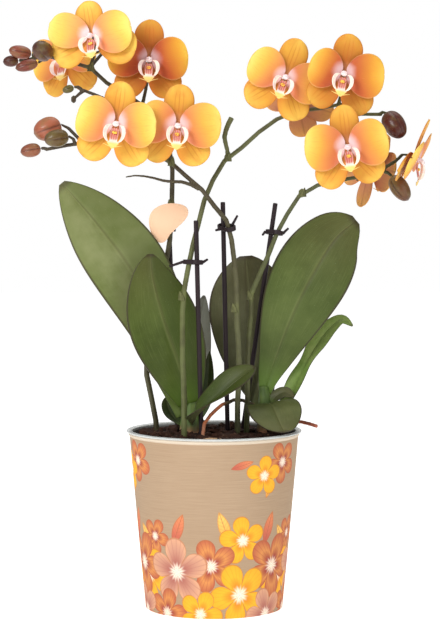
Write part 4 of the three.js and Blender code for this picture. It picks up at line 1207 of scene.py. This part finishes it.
def makeBlooms():
    looks = [tepalLook("tepalFront", False), tepalLook("tepalBack", True)]
    wax = columnLook()
    for number, bloom in enumerate(blooms, 1):
        rng = random.Random(tepals["seed"] + number)
        reaches = bloom.get("reaches", [rng.uniform(0.97, 1.04) for k in range(5)])
        broads = bloom.get("broads", [rng.uniform(0.94, 1.03) for k in range(5)])
        turns = bloom.get("turns", tepalTurns)
        parts = [makeTepal("tepal", tepals[kind], turn, reach, broad, rng, looks)
                 for kind, turn, reach, broad in zip(tepalOrder, turns, reaches, broads)]
        piece = joined("bloom%d" % number, parts + [makeColumn(wax)])
        setData(piece, "tone", "FLOAT", bloom["tone"])
        setData(piece, "pink", "FLOAT", bloom["pink"])
        piece.data.transform(Matrix.Scale(mm, 4) @ bloomFrame(bloom))
        smooth(piece)
        dress(piece, [], "bloom_%d" % number)


# Lips: raised side lobes, a red throat with a yellow callus, and a crowned tip with two tendrils
lipRows = [  # from root to tip, each from the middle to the edge, mm
    [(0, -2.95, 3.6), (0.9, -2.95, 3.6), (1.6, -2.9, 3.7)],
    [(0, -4.9, 3.9), (1.5, -4.8, 3.9), (2.6, -4.4, 4.3)],
    [(0, -6.6, 4.6), (1.7, -6.6, 4.7), (3.0, -6.0, 5.4)],
    [(0, -9.4, 6.6), (1.6, -9.5, 6.9), (2.8, -9.0, 7.8)],
    [(0, -12.2, 8.9), (1.5, -12.2, 9.0), (2.5, -12.0, 9.0)],
    [(0, -14.0, 9.8), (2.2, -13.8, 9.7), (4.4, -12.9, 9.3)],
    [(0, -15.8, 9.9), (1.2, -15.8, 9.8), (2.3, -15.2, 9.6)],
    [(0, -17.0, 9.7), (0.25, -17.0, 9.7), (0.5, -16.9, 9.6)],
]
wingCourse = [(2.4, -0.9, 4.4), (4.6, -1.8, 6.6), (6.0, -4.8, 8.6), (5.9, -8.4, 9.8), (4.7, -11.2, 10.1),
              (3.2, -12.6, 9.5)]
tendrilCourse = [(0.3, -16, 9.7), (2.0, -17.3, 10), (4.0, -17.1, 9.9), (5.6, -15.9, 9.5), (6.4, -14.2, 9.1)]
lipTints = {
    "wax": ("#F6EAD6", "#F0D2CA"), "throat": "#C23E2C", "tip": "#F0C84E", "spots": "#C9603A",
    "callus": ("#F6C63C", "#B83A28"),
}


def lipLook():
    look = Finish("lipWax", Specular_IOR_Level=0.45)
    here = look.here()
    x, y, z = look.split(look.attribute("spot", 1))
    patch = look.noise(here, 250.0)
    fine = look.noise(here, 1200.0, 2.0)
    throat = look.fall(abs(x), 0.075, 0.1) * look.step(y, -0.38, -0.3) * look.step(-y, 0.06, 0.1)
    throat = throat * look.fall(z, 0.24, 0.275)
    streak = look.step(look.math("SINE", x * 150 + patch * 3), -0.5, 0.6)
    color = look.layers(
        look.mix(look.step(patch, 0.35, 0.7), *lipTints["wax"]),
        (throat * (0.6 + streak * 0.3), lipTints["throat"]),
        (-y, 0.35, 0.42, 0.85, lipTints["tip"]),
        (fine, 0.66, 0.74, look.step(-y, 0.2, 0.3) * 0.4, lipTints["spots"]),
        (look.attribute("callus") * 0.9, look.mix(look.step(fine, 0.52, 0.6), *lipTints["callus"])))
    return look.done(color, 0.42 + patch * 0.15, patch * 0.6 + fine * 0.4, 0.2, 0.0003)


def thicken(piece, thickness):
    modify(piece, "SOLIDIFY", thickness=thickness, offset=0)
    modify(piece, "SUBSURF", levels=1, render_levels=1)


def lipBlade():
    def row(number, cross):
        j = min(int(cross), 1)
        return Vector(lipRows[number][j]).lerp(Vector(lipRows[number][j + 1]), cross - j)

    def place(u, v):
        spot = u * (len(lipRows) - 1)
        i = min(int(spot), len(lipRows) - 2)
        t = spot - i
        t = t * t * (3 - 2 * t) * 0.5 + t * 0.5
        point = row(i, abs(v) * 2).lerp(row(i + 1, abs(v) * 2), t)
        return Vector((-point.x if v < 0 else point.x, point.y, point.z))

    blade = sheetPiece("lipBlade", 30, 20, place)
    modify(blade, "SMOOTH", factor=0.5, iterations=6)
    thicken(blade, 0.55)
    return blade


def lipWing(side):  # upright side lobe, curved in at its top
    course = Route(wingCourse)

    def place(u, v):
        spot = course.at(u)
        wide = v * 1.65 * math.sin(math.pi * (0.07 + 0.86 * u)) ** 0.5
        fold = 0.25 * (1 - v * v)
        return Vector((side * (spot.x + wide * 0.72 + fold), spot.y + wide * 0.15, spot.z + wide * 0.62))

    wing = sheetPiece("lipWing", 22, 8, place)
    thicken(wing, 0.6)
    outward(wing)
    return wing


def makeLipShape():
    parts = [lipBlade()]
    for side in (-1, 1):
        parts.append(lipWing(side))
        bend = Route([[side * x, y, z] for x, y, z in tendrilCourse])
        tendril = tubePiece("tendril", bend, lambda t: 0.62 - 0.4 * t, 8, 14)
        tendril.data.transform(Matrix.Scale(1 / mm, 4))
        parts.append(tendril)
    callus = begin("callus", bpy.ops.mesh.primitive_uv_sphere_add, segments=16, ring_count=10, radius=1)
    for vertex in callus.data.vertices:
        x, y, z = vertex.co
        groove = 1 - 0.35 * math.exp(-(x * 3) ** 2)
        vertex.co = Vector((x * 1.7, y * 1.2 - 6.2, z * 1.3 * groove + 6.0))
    setData(callus, "callus", "FLOAT", 1.0)
    piece = joined("lip", parts + [callus])
    setSpots(piece)
    return piece


def makeLips():
    material = lipLook()
    first = makeLipShape()
    for number, bloom in enumerate(blooms, 1):
        piece = copied(first, "lip%d" % number)
        piece.data.transform(Matrix.Scale(mm, 4) @ bloomFrame(bloom))
        smooth(piece)
        dress(piece, [material], "lip_%d" % number)
    bpy.data.objects.remove(first)


# Buds: closed waxy sepals with three seams
buds = [  # start and end in mm, radius, and the colors of base, belly and tip
    ((-112, -11, 377), (-118, -28, 382), 6.8, ("#6A5A28", "#54301A", "#40201A")),
    ((-124, 0, 378), (-139, -3, 381), 4.6, ("#A05A3C", "#8A4430", "#6A2E22")),
    ((-133, 3, 374), (-143.5, 2, 373), 3.9, ("#6A3824", "#4E2418", "#3A1A14")),
    ((-119, -8, 372), (-134, -10, 368), 4, ("#8A4A30", "#743626", "#52241A")),
    ((-94, -20, 355), (-101.5, -21, 352.5), 2.7, ("#6C6C34", "#5C5426", "#46381E")),
    ((-103, -15, 330), (-121, -19, 324), 8.2, ("#BC7A5C", "#AE6448", "#804430")),
    ((-97, -32, 322), (-112.5, -38, 319.5), 6, ("#74683A", "#5E4A24", "#50321E")),
    ((-116, -24, 314), (-129.5, -26, 311.5), 4.7, ("#9A6A4E", "#8A4E36", "#663828")),
    ((117, -3, 338), (127.5, -13, 322), 7.6, ("#6A5024", "#4E1C0E", "#3A140C")),
    ((121, -3, 295.5), (132, -5, 279), 6.4, ("#B8A068", "#6A4220", "#4A2A18")),
]
budTints = {"patch": "#77703C", "bloom": "#C89880", "seam": "#3E211C"}
budProfile = [[0, 0, 0], [0.5, 0, 0.05], [0.86, 0, 0.2], [1.0, 0, 0.42], [0.9, 0, 0.68], [0.55, 0, 0.9],
              [0, 0, 1]]


def budLook():
    look = Finish("budSkin", Specular_IOR_Level=0.25, Coat_Roughness=0.16)
    here = look.here()
    seam = look.attribute("seam")
    patch = look.noise(here, 160.0)
    fine = look.noise(here, 900.0, 2.0)
    color = look.layers(
        look.attribute("tone", 0),
        (patch, 0.45, 0.7, 0.3, budTints["patch"]),
        (fine, 0.6, 0.75, 0.12, budTints["bloom"]),
        (seam * 0.65, budTints["seam"]))
    return look.done(color, 0.34 + patch * 0.2, patch * 0.3 + fine * 0.2 - seam * 1.6, 0.35, 0.0005,
                     Coat_Weight=0.16 + patch * 0.2)


def makeBuds():
    material = budLook()
    outline = Route(budProfile)
    for number, (start, end, radius, shades) in enumerate(buds, 1):
        start, end = Vector(start), Vector(end)
        base, belly, tip = (Vector(tint(shade)) for shade in shades)
        piece = begin("bud%d" % number, bpy.ops.mesh.primitive_uv_sphere_add, segments=48, ring_count=28,
                      radius=1)
        colors, seams = [], []
        for vertex in piece.data.vertices:
            t = math.acos(max(-1, min(1, -vertex.co.z))) / math.pi
            turn = math.atan2(vertex.co.y, vertex.co.x)
            spot = outline.at(t)
            seam = math.exp(-(math.cos(1.5 * turn + 0.4) / 0.15) ** 2) * math.sin(math.pi * min(1, t * 1.05))
            reach = spot.x * radius * 0.985 * (1 - 0.1 * seam)
            vertex.co = Vector((reach * math.cos(turn), reach * math.sin(turn), spot.z * (end - start).length))
            colors.append(base.lerp(belly, min(t / 0.45, 1)).lerp(tip, max(0, (t - 0.45) / 0.55)))
            seams.append(seam)
        setData(piece, "tone", "FLOAT_COLOR", colors)
        setData(piece, "seam", "FLOAT", seams)
        piece.data.transform(Matrix.Scale(mm, 4) @ upright(start, end))
        outward(piece)
        smooth(piece)
        dress(piece, [material], "bud_%d" % number)


for stage in (makeStudio, makeSleeve, makePot, makeBark, makeCrowns, makeLeaves, makeSpikes, makeStakes,
              makeTag, makeBlooms, makeLips, makeBuds):
    stage()
    print(stage.__name__, "is done")
